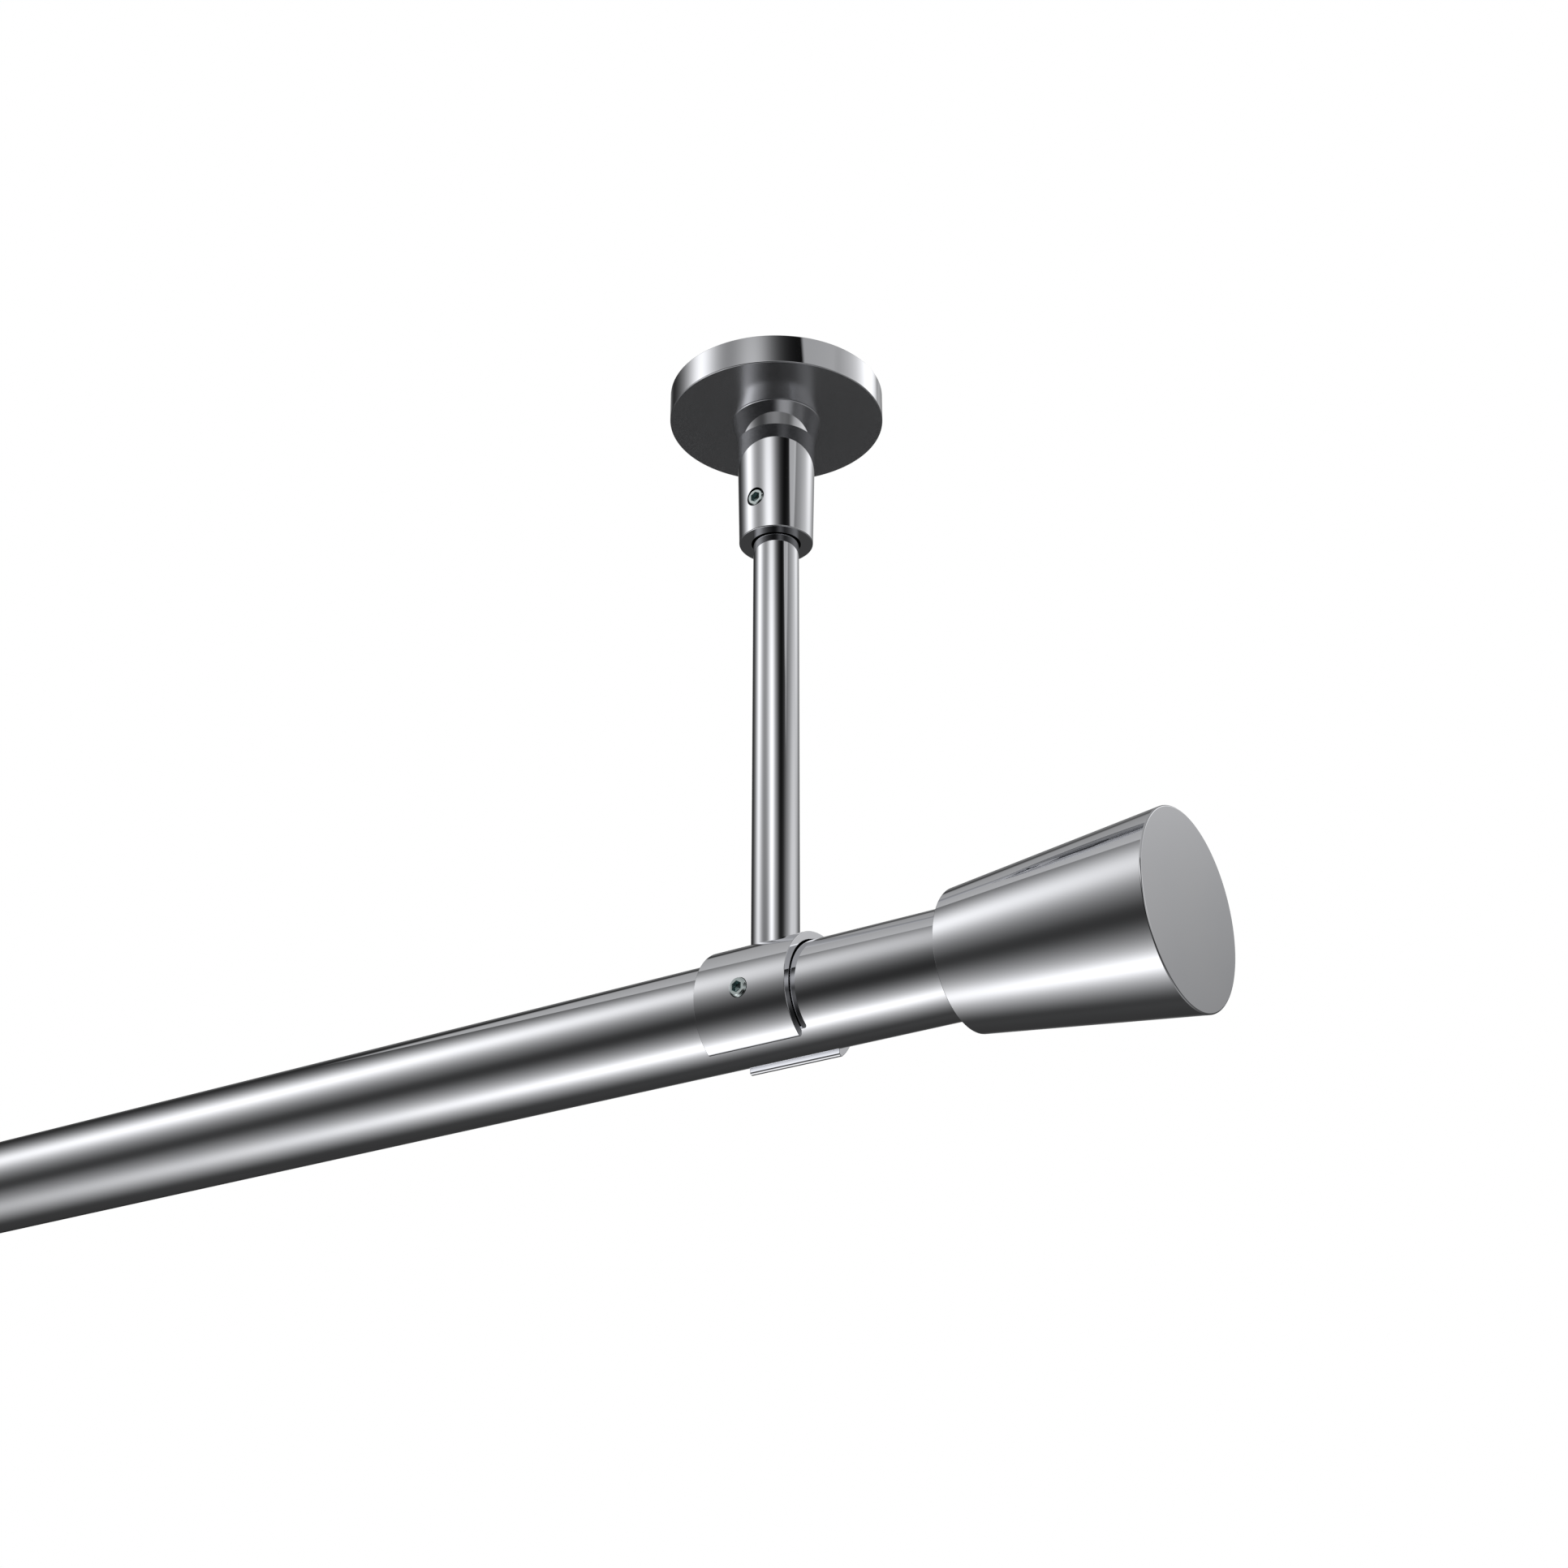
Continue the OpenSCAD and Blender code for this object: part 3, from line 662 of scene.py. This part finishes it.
def chrome_finish(name, tones, polish_axis, satin_and_shade_below=None):
    """Mirror chrome. Its plating varies a little in tone and gloss, with faint polishing lines one way.

    A face that lies below the height given is rougher and less metallic, as satin, and darker in tone:
    painted shade on the underside."""
    material, t, surface, place = finish_named(name)
    cloud = noise(t, place, 38.0)
    tone = t.blend(t.ramp(cloud, 0.3, 0.7), *tones)
    stretched = t.add("ShaderNodeMapping", {"Vector": place, "Scale": polish_axis})
    lines = noise(t, stretched, 900.0, detail=2.0)
    gloss = t.math("ADD", t.ramp(cloud, 0.25, 0.8, 0.016, 0.03), t.ramp(lines, 0.3, 0.8, 0.0, 0.006))
    if satin_and_shade_below is not None:
        # Below that height the chrome is rougher and partly diffuse, and its darker tone is painted shade
        satin_and_shade = t.ramp(t.split(place)["Z"], satin_and_shade_below - 1e-5, satin_and_shade_below, 1.0, 0.0)
        gloss = t.math("ADD", gloss, t.math("MULTIPLY", satin_and_shade, SATIN_ROUGHNESS))
        tone = t.blend(satin_and_shade, tone, SATIN_SHADE_TONE)
        t.link(t.ramp(satin_and_shade, 0.0, 1.0, 1.0, SATIN_METALLIC), surface["Metallic"])
    coat(t, surface, tone, gloss)
    bump(t, surface, lines, 0.012, 0.00002)
    return material


def zinc_finish(name, tones, gloss):
    """Bright zinc plating on steel screws: grey with a green-blue cast."""
    material, t, surface, place = finish_named(name)
    cloud = noise(t, place, 700.0, detail=4.0)
    coat(t, surface, t.blend(t.ramp(cloud, 0.35, 0.65), *tones), t.ramp(cloud, 0.3, 0.75, *gloss))
    bump(t, surface, noise(t, place, 5200.0, detail=2.0), 0.05, 0.00002)
    return material


def painted_bore_shade_finish(tones):
    """Painted shade inside the drilled holes: nearly black, as the bores and hole mouths lie in shade."""
    material, t, surface, place = finish_named("painted shade in the bores")
    cloud = noise(t, place, 420.0)
    coat(t, surface, t.blend(t.ramp(cloud, 0.3, 0.7), *tones), t.ramp(cloud, 0.3, 0.7, 0.25, 0.40))
    return material


def plate_finish(tones):
    """Galvanised sheet: soft grey, with the large flakes of the zinc and rolling lines."""
    material, t, surface, place = finish_named("galvanised plate")
    flakes = t.add("ShaderNodeTexVoronoi", {"Vector": place, "Scale": 260.0}, out="Color")
    grey = t.add("ShaderNodeRGBToBW", {0: flakes})
    coat(t, surface, t.blend(grey, *tones), t.ramp(grey, 0.1, 0.9, 0.30, 0.46, kind="LINEAR"))
    stretched = t.add("ShaderNodeMapping", {"Vector": place, "Scale": (1.0, 14.0, 1.0)})
    bump(t, surface, noise(t, stretched, 300.0), 0.15, 0.00003)
    return material


def nylon_finish(tones):
    """Black moulded nylon: faint mottling and a fine spark-eroded grain."""
    material, t, surface, place = finish_named("black nylon", metallic=0.0)
    cloud = noise(t, place, 160.0)
    grain = noise(t, place, 3600.0, detail=2.0)
    coat(t, surface, t.blend(t.ramp(cloud, 0.3, 0.7), *tones), t.ramp(grain, 0.3, 0.7, 0.38, 0.55))
    bump(t, surface, grain, 0.25, 0.00004)
    return material


CHROME_TONES = ((0.905, 0.915, 0.950, 1), (0.925, 0.932, 0.962, 1))
ZINC_TONES = ((0.80, 0.90, 0.895, 1), (0.87, 0.955, 0.95, 1))
# Darker zinc for the hex sockets: painted shade in the recess
SOCKET_SHADE_TONES = ((0.40, 0.53, 0.53, 1), (0.48, 0.60, 0.60, 1))
chrome = chrome_finish("bright chrome", CHROME_TONES, (1.0, 1.0, 0.02))
pole_chrome = chrome_finish("bright chrome on the pole", CHROME_TONES, (0.02, 1.0, 1.0))
rose_face = -(ROSE_H - 0.02) * MM
# The roses' underside gets the darker satin tone, which is painted shade
rose_chrome = chrome_finish("bright chrome on the roses, with painted shade underneath", CHROME_TONES, (1.0, 1.0, 0.02), rose_face)
cone_chrome = chrome_finish("bright chrome on the cones", CHROME_TONES, (1.0, 0.25, 0.25))
zinc = zinc_finish("zinc plating", ZINC_TONES, (0.035, 0.075))
# The sockets' zinc is darker than the screws' own: painted shade in the recess, and it is rougher too
zinc_with_socket_shade = zinc_finish("zinc plating with painted shade in the sockets", SOCKET_SHADE_TONES, (0.28, 0.36))
# Nearly black: painted shade in the collar's bore and in the grub screws' holes
painted_bore_shade = painted_bore_shade_finish(((0.030, 0.032, 0.034, 1), (0.055, 0.058, 0.060, 1)))
plate_grey = plate_finish(((0.46, 0.47, 0.49, 1), (0.58, 0.59, 0.60, 1)))
nylon = nylon_finish(((0.022, 0.022, 0.024, 1), (0.034, 0.034, 0.037, 1)))


# Pieces. In an outline, a corner's third number is its rounding.
def marked_for_painted_shade(mesh, inside):
    """Marks the faces that lie wholly where the test says: they get the piece's second finish, which paints
    shade into them.
    """
    for face in mesh.polygons:
        face.material_index = int(all(inside(*mesh.vertices[i].co) for i in face.vertices))
    return mesh


def rose_shape():
    """The rose: a shallow cup, open at the ceiling, with a hole for the stud."""
    inner_r, floor_z = ROSE_R - ROSE_RIM, ROSE_FLOOR - ROSE_H
    return turned([
        (ROSE_HOLE_R, -ROSE_H, 0.1), (ROSE_R, -ROSE_H, 0.3), (ROSE_R, 0, 0.2), (inner_r, 0, 0.2),
        (inner_r, floor_z, 0.5), (ROSE_HOLE_R, floor_z, 0.1)], closed=True, steps=224)


def grub_hole(start, surface, mouth_r, z):
    """The cutter for a grub screw's hole, from a start in the hollow out to the room's side."""
    cutter = hole_cutter(GRUB_R + THREAD_GAP, start, surface, mouth_r)
    return turned_over(cutter, facing_room(0, z))


def in_grub_hole(x, y, z, mouth_r):
    return y < 0 and math.hypot(x, z) < mouth_r + EDGE


def collar_shape():
    """The collar: lip, flare and tapered sleeve, with holes for the stud, the rod and the grub screw."""
    lip_z = FLARE_Z - LIP_H
    sleeve = turned([
        (0, BORE_END), (BORE_R, BORE_END, 0.2), (BORE_R, MOUTH_Z, 0.1), (MOUTH_R, MOUTH_Z, 0.3),
        (SLEEVE_TOP_R, SLEEVE_TOP_Z), (FLARE_R, lip_z, 0.08), (LIP_R, lip_z, 0.08), (LIP_R, FLARE_Z, 0.06),
        (STUD_HOLE_R, FLARE_Z, 0.2), (STUD_HOLE_R, STUD_HOLE_END, 0.1), (0, STUD_HOLE_END)])
    hole = grub_hole(COLLAR_HOLE_FROM, SLEEVE_R_AT_GRUB, COLLAR_GRUB_MOUTH_R, COLLAR_GRUB_Z)

    # The bore and the grub screw's hole get the second finish: painted shade
    def in_painted_shade(x, y, z):
        in_bore = MOUTH_Z + 0.2 < z < FLARE_Z - 1 and math.hypot(x, y) < BORE_R + EDGE
        return in_bore or in_grub_hole(x, y, z - COLLAR_GRUB_Z, COLLAR_GRUB_MOUTH_R)

    return marked_for_painted_shade(joined_solids("DIFFERENCE", sleeve, hole), in_painted_shade)


def rod_shape():
    """The hanger rod: a round bar, coped at its foot onto the clamp and drilled for the clamp's screw."""
    foot, cope_half = -DROP + 10, 12
    shaft = turned([(0, foot), (ROD_R, foot), (ROD_R, ROD_TOP, 0.5), (0, ROD_TOP)], steps=192)
    cope = turned([
        (0, -cope_half), (CLAMP_OUT, -cope_half), (CLAMP_OUT, cope_half), (0, cope_half)], steps=192)
    hole_end = -DROP + CLAMP_SCREW_Z + CLAMP_SCREW_LEN + SEAT_CLEAR
    screw_hole = hole_cutter(CLAMP_SCREW_R + THREAD_GAP, -DROP, hole_end - OVERSHOOT)
    return joined_solids("DIFFERENCE", shaft, turned_over(cope, along_pole(0, "right")), screw_hole)


def clamp_shape():
    """The clamp round the pole's axis, with the seat of its screw and the hole of its grub screw."""
    head_r, shank_r = CLAMP_SCREW_HEAD_R + THREAD_GAP, CLAMP_SCREW_R + PLAIN_GAP
    low, high = CLAMP_SCREW_Z - 2 * OVERSHOOT, CLAMP_OUT + 2 * OVERSHOOT
    rim_z = CLAMP_SCREW_Z + CLAMP_SCREW_RIM
    seat = turned([
        (0, low), (head_r, low), (head_r, rim_z), (shank_r, rim_z + head_r - shank_r), (shank_r, high),
        (0, high)], steps=64)
    hole = grub_hole(CLAMP_HOLE_FROM, CLAMP_OUT, CLAMP_GRUB_MOUTH_R, 0)
    # The grub screw's hole gets the second finish: painted shade
    return marked_for_painted_shade(joined_solids("DIFFERENCE", clamp_band(), seat, hole),
                    lambda x, y, z: in_grub_hole(x, y, z, CLAMP_GRUB_MOUTH_R))


def pole_shape():
    return turned([
        (POLE_BORE_R, 0, 0.25), (POLE_R, 0, 0.3), (POLE_R, POLE_LEN, 0.3), (POLE_BORE_R, POLE_LEN, 0.25)],
        closed=True, steps=192)


def finial_shape():
    """The cone: a blunt turned end piece, with its seat for the pole, the spigot's hole and the screw's."""
    screw_r, screw_end = FINIAL_SCREW_R + THREAD_GAP, FINIAL_SCREW_TIP + SEAT_CLEAR
    spigot_r, spigot_end = SPIGOT_R + THREAD_GAP, SEAT_DEPTH + SPIGOT_LEN + SEAT_CLEAR
    return turned([
        (0, screw_end), (screw_r, screw_end, 0.1), (screw_r, spigot_end, 0.2), (spigot_r, spigot_end, 0.2),
        (spigot_r, SEAT_DEPTH, 0.2), (SEAT_R, SEAT_DEPTH, 0.2), (SEAT_R, 0, 0.25), (FINIAL_MOUTH_R, 0, 0.22),
        (FINIAL_END_R, FINIAL_LEN, 0.4), (0, FINIAL_LEN)], steps=256)


def threaded_shaft(radius, length, pitch, depth, foot, head, along, around=48, plain_from=1000.0):
    return run_tree(THREADED, {
        "Radius": radius, "Length": length, "Pitch": pitch, "Depth": depth, "Plain from": plain_from,
        "Foot bevel": foot, "Head bevel": head, "Around": around, "Along": along, "Material": zinc})


def grub_shape(length):
    """A grub screw: thread all along, a cup point at its foot and a socket at its head."""
    rows = int(length / THREAD_ROW)
    shaft = threaded_shaft(GRUB_R, length, GRUB_PITCH, GRUB_THREAD, GRUB_POINT, GRUB_BEVEL, rows, around=72)
    socket_z = length - GRUB_HEX_DEPTH
    socket = socket_cutter(GRUB_HEX, socket_z, length, GRUB_HEX_POINT, GRUB_HEX_BEVEL)
    cup = turned([(0, -0.5), (1.25, -0.5), (1.25, -0.1), (0.05, 0.88), (0, 0.9)], steps=48)
    # The socket's faces are marked for the second finish, darker zinc that paints shade into the socket
    low = socket_z - GRUB_HEX_POINT - EDGE
    corner_r = (GRUB_HEX / 2 + GRUB_HEX_BEVEL) / math.cos(math.radians(30)) + EDGE
    return marked_for_painted_shade(joined_solids("DIFFERENCE", shaft, socket, cup),
                    lambda x, y, z: z > low and math.hypot(x, y) < corner_r)


def stud_shape():
    length = STUD_TOP - STUD_FOOT
    return threaded_shaft(STUD_R, length, STUD_PITCH, STUD_THREAD, STUD_BEVEL, STUD_BEVEL, 180, around=56)


def rib_shape(start, end):
    """One rib of the plug, on the +Y side of its stem, with a round crest and a lead-in at its start."""
    half, root = RIB_T / 2, STEM_R - RIB_ROOT
    profile = [(-half, root)]
    for a in np.linspace(math.pi, 0, 9):
        profile.append((half * math.cos(a), RIB_R - RIB_ROUND + RIB_ROUND * math.sin(a)))
    profile.append((half, root))
    rows = []
    for z, shrink in ((start, LEAD_IN), (start + LEAD_IN, 0.0), (end, 0.0)):
        rows += [(x, min(r, RIB_R - shrink), z) for x, r in profile]
    n = len(profile)
    faces = []
    for row in (0, n):
        for j in range(n):
            k = (j + 1) % n
            faces.append((row + j, row + k, row + n + k, row + n + j))
    faces += [tuple(reversed(range(n))), tuple(range(2 * n, 3 * n))]
    return mesh_of(rows, faces)


def plug_shape():
    """The nylon plug: a ribbed stem, a flange against the pole's end and a spigot for the cone."""
    flange_z, spigot_end = SEAT_DEPTH - FLANGE_T, SEAT_DEPTH + SPIGOT_LEN
    hole, recess = FINIAL_SCREW_R + PLAIN_GAP, SCREW_HEAD_R + PLAIN_GAP
    stem = turned([
        (recess, STEM_START, 0.15), (STEM_R, STEM_START, 0.5), (STEM_R, flange_z, 0.3),
        (POLE_R, flange_z, 0.15), (POLE_R, SEAT_DEPTH, 0.15), (SPIGOT_R, SEAT_DEPTH, 0.1),
        (SPIGOT_R, spigot_end, 0.5), (hole, spigot_end, 0.15), (hole, SCREW_SEAT, 0.1),
        (recess, SCREW_SEAT, 0.2)], closed=True, steps=96)
    rib = rib_shape(STEM_START + 0.02, flange_z + 0.3)
    ribs = run_tree(RING, {"Count": RIB_COUNT, "First angle": 0.0, "Material": nylon}, rib)
    return joined_solids("UNION", stem, ribs)


def finial_screw_shape():
    """A socket-head screw: knurled head, shank with a thread at its tip, and a hex socket."""
    head_z, overlap = SCREW_SEAT - SCREW_HEAD_H, 1.0
    over = Matrix.Rotation(math.pi, 4, "X")
    head = run_tree(KNURLED, {
        "Radius": SCREW_HEAD_R, "Height": SCREW_HEAD_H, "Grooves": KNURL_COUNT, "Depth": KNURL_DEPTH,
        "Bevel": KNURL_BEVEL, "Material": zinc})
    head.transform(along_z(0, head_z))
    length = FINIAL_SCREW_TIP - SCREW_SEAT + overlap
    shank = threaded_shaft(FINIAL_SCREW_R, length, FINIAL_SCREW_PITCH, FINIAL_SCREW_THREAD,
                           FINIAL_SCREW_BEVEL, 0.01, 440, plain_from=length - FINIAL_SCREW_PLAIN)
    shank.transform(along_z(0, SCREW_SEAT - overlap) @ along_z(0, length) @ over)
    socket = socket_cutter(SCREW_HEX, -SCREW_HEX_DEPTH, 0.0, SCREW_HEX_POINT)
    socket.transform(along_z(0, head_z) @ over)
    return joined_solids("DIFFERENCE", joined_solids("UNION", head, shank), socket)


def finished(mesh, matrix, name, body, node, slot, *materials):
    """Sets a piece in its place with its finishes, puts it under its body and hides its CAD node."""
    piece = placed(mesh, matrix, name)
    marks = [face.material_index for face in piece.data.polygons]
    piece.data.materials.clear()
    for material in materials:
        piece.data.materials.append(material)
    if len(materials) > 1:
        piece.data.polygons.foreach_set("material_index", marks)
    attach(piece, body)
    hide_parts(node)


def add_brackets():
    rose, collar, rod, clamp, stud = rose_shape(), collar_shape(), rod_shape(), clamp_shape(), stud_shape()
    grub_screws = (
        ("collar", grub_shape(COLLAR_GRUB_FACE - COLLAR_GRUB_TIP), COLLAR_GRUB_Z, COLLAR_GRUB_TIP),
        ("clamp", grub_shape(CLAMP_GRUB_FACE - CLAMP_GRUB_TIP), -DROP, CLAMP_GRUB_TIP))
    fixings, screw = "ceiling_fixings", "zinc_plated_screw"
    for side, x in BRACKETS.items():
        hanger = f"{side}_hanger"
        finished(rose, along_z(x), f"{side}_rose_shell", fixings, f"{side}_rose", "chrome", rose_chrome)
        finished(stud, along_z(x, STUD_FOOT), f"{side}_threaded_stud", fixings, f"{side}_stud", screw, zinc)
        # The second finish of the collar and of the clamp is the nearly black painted shade in their holes
        finished(collar, along_z(x), f"{side}_collar_sleeve", fixings, f"{side}_collar", "chrome",
                 chrome, painted_bore_shade)
        finished(rod, along_z(x), f"{side}_coped_rod", hanger, f"{side}_hanger_rod", "chrome", chrome)
        finished(clamp, along_z(x, -DROP), f"{side}_clamp_band", hanger, f"{side}_clamp", "chrome",
                 pole_chrome, painted_bore_shade)
        for holder, grub, z, tip in grub_screws:
            place, node = facing_room(x, z) @ along_z(0, tip), f"{side}_{holder}_grub_screw"
            finished(grub, place, f"{side}_{holder}_socket_screw", node, node, screw, zinc, zinc_with_socket_shade)


def add_pole_and_ends():
    pole = pole_shape()
    finished(pole, along_pole(POLE_LEFT, "right"), "pole_tube", "pole", "pole", "chrome", pole_chrome)
    plug, finial, screw = plug_shape(), finial_shape(), finial_screw_shape()
    for side, x in FINIAL_MOUTHS.items():
        place, body = along_pole(x, side), f"{side}_finial"
        finished(finial, place, f"{side}_turned_cone", body, body, "chromed_aluminium", cone_chrome)
        finished(plug, place, f"{side}_ribbed_plug", body, f"{side}_finial_plug", "nylon", nylon)
        finished(screw, place, f"{side}_socket_head_screw", body, f"{side}_finial_screw",
                 "zinc_plated_screw", zinc)


def finish_hidden_nodes():
    """The CAD's own plates and clamp screws keep their shapes and get their finish."""
    for side in BRACKETS:
        for node, material in ((f"{side}_mounting_plate", plate_grey), (f"{side}_clamp_screw", zinc)):
            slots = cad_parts[node].data.materials
            for i in range(len(slots)):
                slots[i] = material


add_brackets()
add_pole_and_ends()
finish_hidden_nodes()

# Camera, in metres and degrees, with its lens in pixels of the square picture
CAMERA_PLACE = (0.324965, -0.473852, -0.393257)
CAMERA_YAW, CAMERA_PITCH = 34.2255, 25.2785
PICTURE_SIDE, FOCAL_PIXELS, SENSOR = 1932, 2967.33, 36.0


def add_camera():
    data = bpy.data.cameras.new("camera")
    data.sensor_width = SENSOR
    data.lens = FOCAL_PIXELS * SENSOR / PICTURE_SIDE
    data.clip_start, data.clip_end = 0.02, 200.0
    camera = scene_object("camera", data)
    camera.location = CAMERA_PLACE
    camera.rotation_euler = (math.radians(90 + CAMERA_PITCH), 0, math.radians(CAMERA_YAW))
    bpy.context.scene.camera = camera


add_camera()

# Studio
# The chrome shows what stands round it: a light tent that is square to the camera, with soft lamps and dark
# walls between them, a pale panel overhead, and a dark floor cloth with bounce lights. The camera itself
# looks through the tent at plain white.
TENT_RADIUS = 60.0
FLOOR_Z = -2.4
BRIGHTEST = 1.25
WALL_DARK, FLOOR_DARK = 0.0, 0.005

# Each lamp, in degrees: its bearing from the line of sight, with right positive, its height above the
# horizon and its half widths; then its strength, and how crisp its edge is. These numbers and the panel's
# were fitted to the tones of the photograph by least squares.
LAMPS = (
    ("left softbox", -90.8, 31.2, 10.9, 10.7, 1.22, 0.75),
    ("floor bounce", -76.6, -54.3, 7.5, 7.3, 0.91, 0.85),
    ("right softbox", 59.6, 62.6, 8.9, 14.7, 3.50, 0.90),
    ("left fill", -102.6, 7.0, 12.8, 8.5, 0.03, 1.55),
    ("right strip", 87.2, 19.5, 18.0, 7.0, 0.51, 1.64),
    ("rear strip", -162.1, 23.6, 7.6, 5.8, 0.92, 0.96),
    ("front fill", 1.8, 24.5, 21.2, 17.7, 0.17, 2.52),
    ("low left fill", -76.4, -30.3, 20.6, 10.1, 0.12, 1.44),
    ("right rear softbox", 130.0, 33.2, 9.0, 4.4, 0.47, 4.00),
    ("rear fill", -149.7, 29.9, 9.9, 4.9, 0.66, 0.74),
    ("wide floor bounce", -78.8, -55.6, 24.7, 18.2, 0.42, 1.54),
    ("right floor bounce", 69.8, -63.6, 25.1, 27.7, 0.26, 1.47),
    ("low rear strip", 158.7, -8.1, 16.5, 15.4, 0.41, 1.67),
    ("rear right fill", -179.4, 18.6, 10.6, 8.9, 0.21, 1.59),
    ("right wall", 70.4, 48.7, 32.3, 19.2, 0.51, 2.16),
    ("front wall", 31.9, -19.3, 60.0, 23.6, 0.03, 4.00),
    ("low right fill", 115.7, 5.9, 19.1, 15.5, 0.44, 1.58),
)

# The pale panel lies level, one unit up. Each edge: the way across which it is placed, its place, its slant,
# the side of it that is lit, and its softness. The panel is dimmest along one line, its light rises with the
# square of the distance from there, and it fades ahead.
PANEL_EDGES = (
    ("across", -0.678, 0.063, 1, 0.012),
    ("along", 0.954, 0.299, -1, 0.084),
    ("along", -1.164, -0.099, 1, 0.030),
    ("across", 1.201, -0.257, -1, 0.097),
)
PANEL_LIGHT, PANEL_RISE, PANEL_DIMMEST, PANEL_FADE, PANEL_REACH = 0.278, 0.121, 0.551, -0.054, 3.0


def direction(bearing, height):
    a, e = math.radians(bearing), math.radians(height)
    return Vector((math.sin(a) * math.cos(e), math.cos(a) * math.cos(e), math.sin(e)))


def along_axis(t, way, axis):
    return t.vector("DOT_PRODUCT", way, tuple(axis), out="Value")


def lamp_glow(t, way, bearing, height, wide, tall, strength, crispness):
    """Light of one lamp in the direction given: a soft oval patch."""
    middle = direction(bearing, height)
    level = Vector((math.cos(math.radians(bearing)), -math.sin(math.radians(bearing)), 0))
    x = t.math("DIVIDE", along_axis(t, way, level), math.sin(math.radians(wide)))
    y = t.math("DIVIDE", along_axis(t, way, level.cross(middle)), math.sin(math.radians(tall)))
    square = t.math("ADD", t.math("MULTIPLY", x, x), t.math("MULTIPLY", y, y))
    glow = t.math("EXPONENT", t.math("MULTIPLY", t.math("POWER", square, crispness), -0.5))
    in_front = t.math("GREATER_THAN", along_axis(t, way, middle), 0.0)
    return t.math("MULTIPLY", t.math("MULTIPLY", glow, in_front), strength)


def on_panel_plane(t, amount, up):
    """Where a direction meets the panel's plane, counted across or along it."""
    place = t.math("DIVIDE", amount, t.math("MAXIMUM", up, 0.001))
    return t.ramp(place, -PANEL_REACH, PANEL_REACH, -PANEL_REACH, PANEL_REACH, kind="LINEAR")


def panel_mask(t, across, along, up):
    """1 where a direction meets the pale panel, and 0 outside its four edges."""
    inside = t.ramp(up, 0.02, 0.05)
    for way, edge, slant, lit, soft in PANEL_EDGES:
        own, other = (across, along) if way == "across" else (along, across)
        place = t.math("SUBTRACT", own, t.math("MULTIPLY", other, slant))
        dark_to_light = (0.0, 1.0) if lit > 0 else (1.0, 0.0)
        inside = t.math("MULTIPLY", inside, t.ramp(place, edge - soft, edge + soft, *dark_to_light))
    return inside


def panel_glow(t, across, along):
    away = t.math("SUBTRACT", across, PANEL_DIMMEST)
    glow = t.math("ADD", t.math("MULTIPLY", t.math("MULTIPLY", away, away), PANEL_RISE), PANEL_LIGHT)
    glow = t.math("ADD", glow, t.math("MULTIPLY", along, PANEL_FADE))
    return t.ramp(glow, 0.0, 0.8, 0.0, 0.8, kind="LINEAR")


def tent_material():
    material = bpy.data.materials.new("light tent")
    t = blank_nodes(material)
    way = t.vector("NORMALIZE", t.add("ShaderNodeTexCoord", out="Object"))
    square_to_camera = {"Vector": way, "Angle": math.radians(-CAMERA_YAW)}
    way = t.add("ShaderNodeVectorRotate", square_to_camera, rotation_type="Z_AXIS")
    right, ahead, up = t.split(way)
    total = t.ramp(up, -0.06, 0.06, FLOOR_DARK, WALL_DARK)
    for _, *lamp in LAMPS:
        total = t.math("ADD", total, lamp_glow(t, way, *lamp))
    across, along = on_panel_plane(t, right, up), on_panel_plane(t, ahead, up)
    panel = {0: panel_mask(t, across, along, up), 2: total, 3: panel_glow(t, across, along)}
    total = t.add("ShaderNodeMix", panel, data_type="FLOAT")
    light = t.add("ShaderNodeEmission", {"Strength": t.math("MINIMUM", total, BRIGHTEST)})
    t.end("ShaderNodeOutputMaterial", light)
    material.cycles.emission_sampling = "NONE"
    return material


def light_tent(rings=32, steps=64):
    turns = np.linspace(-math.pi / 2, math.pi / 2, rings + 1)
    corners = [(TENT_RADIUS * math.cos(a), TENT_RADIUS * math.sin(a)) for a in turns]
    corners[0], corners[-1] = (0, -TENT_RADIUS), (0, TENT_RADIUS)
    tent = scene_object("light_tent", turned(corners, steps=steps))
    tent.data.materials.append(tent_material())
    tent.visible_camera = tent.visible_transmission = tent.visible_shadow = False
    return tent


def background_rays(t):
    """1 for the rays that show the background: from the camera, by reflection or through glass."""
    rays = t.add("ShaderNodeLightPath").node.outputs
    indirect = t.math("MAXIMUM", rays["Is Glossy Ray"], rays["Is Transmission Ray"])
    return t.math("MAXIMUM", rays["Is Camera Ray"], indirect)


def floor_material():
    material = bpy.data.materials.new("pale floor")
    t = blank_nodes(material)
    paint = t.add("ShaderNodeBsdfDiffuse", {"Color": (0.86, 0.86, 0.86, 1)})
    lit = t.add("ShaderNodeEmission", {"Color": (1, 1, 1, 1), "Strength": 1.0})
    share = t.math("MULTIPLY", background_rays(t), 0.85)
    t.end("ShaderNodeOutputMaterial", t.add("ShaderNodeMixShader", {0: share, 1: paint, 2: lit}))
    return material


def pale_floor():
    floor = scene_object("floor", turned([(7.0, 0.0), (0.0, 0.0)], steps=96))
    floor.data.transform(Matrix.Translation((BRACKETS["left"] / 2 * MM, 0, FLOOR_Z)))
    floor.data.materials.append(floor_material())
    floor.visible_glossy = False
    return floor


def white_world():
    world = bpy.data.worlds.new("white")
    t = blank_nodes(world)
    strength = t.ramp(background_rays(t), 0.0, 1.0, 0.6, 1.0, kind="LINEAR")
    background = t.add("ShaderNodeBackground", {"Color": (1, 1, 1, 1), "Strength": strength})
    t.end("ShaderNodeOutputWorld", background)
    return world


tent, floor = light_tent(), pale_floor()
bpy.context.scene.world = white_world()
bpy.context.scene.view_settings.view_transform = "Standard"
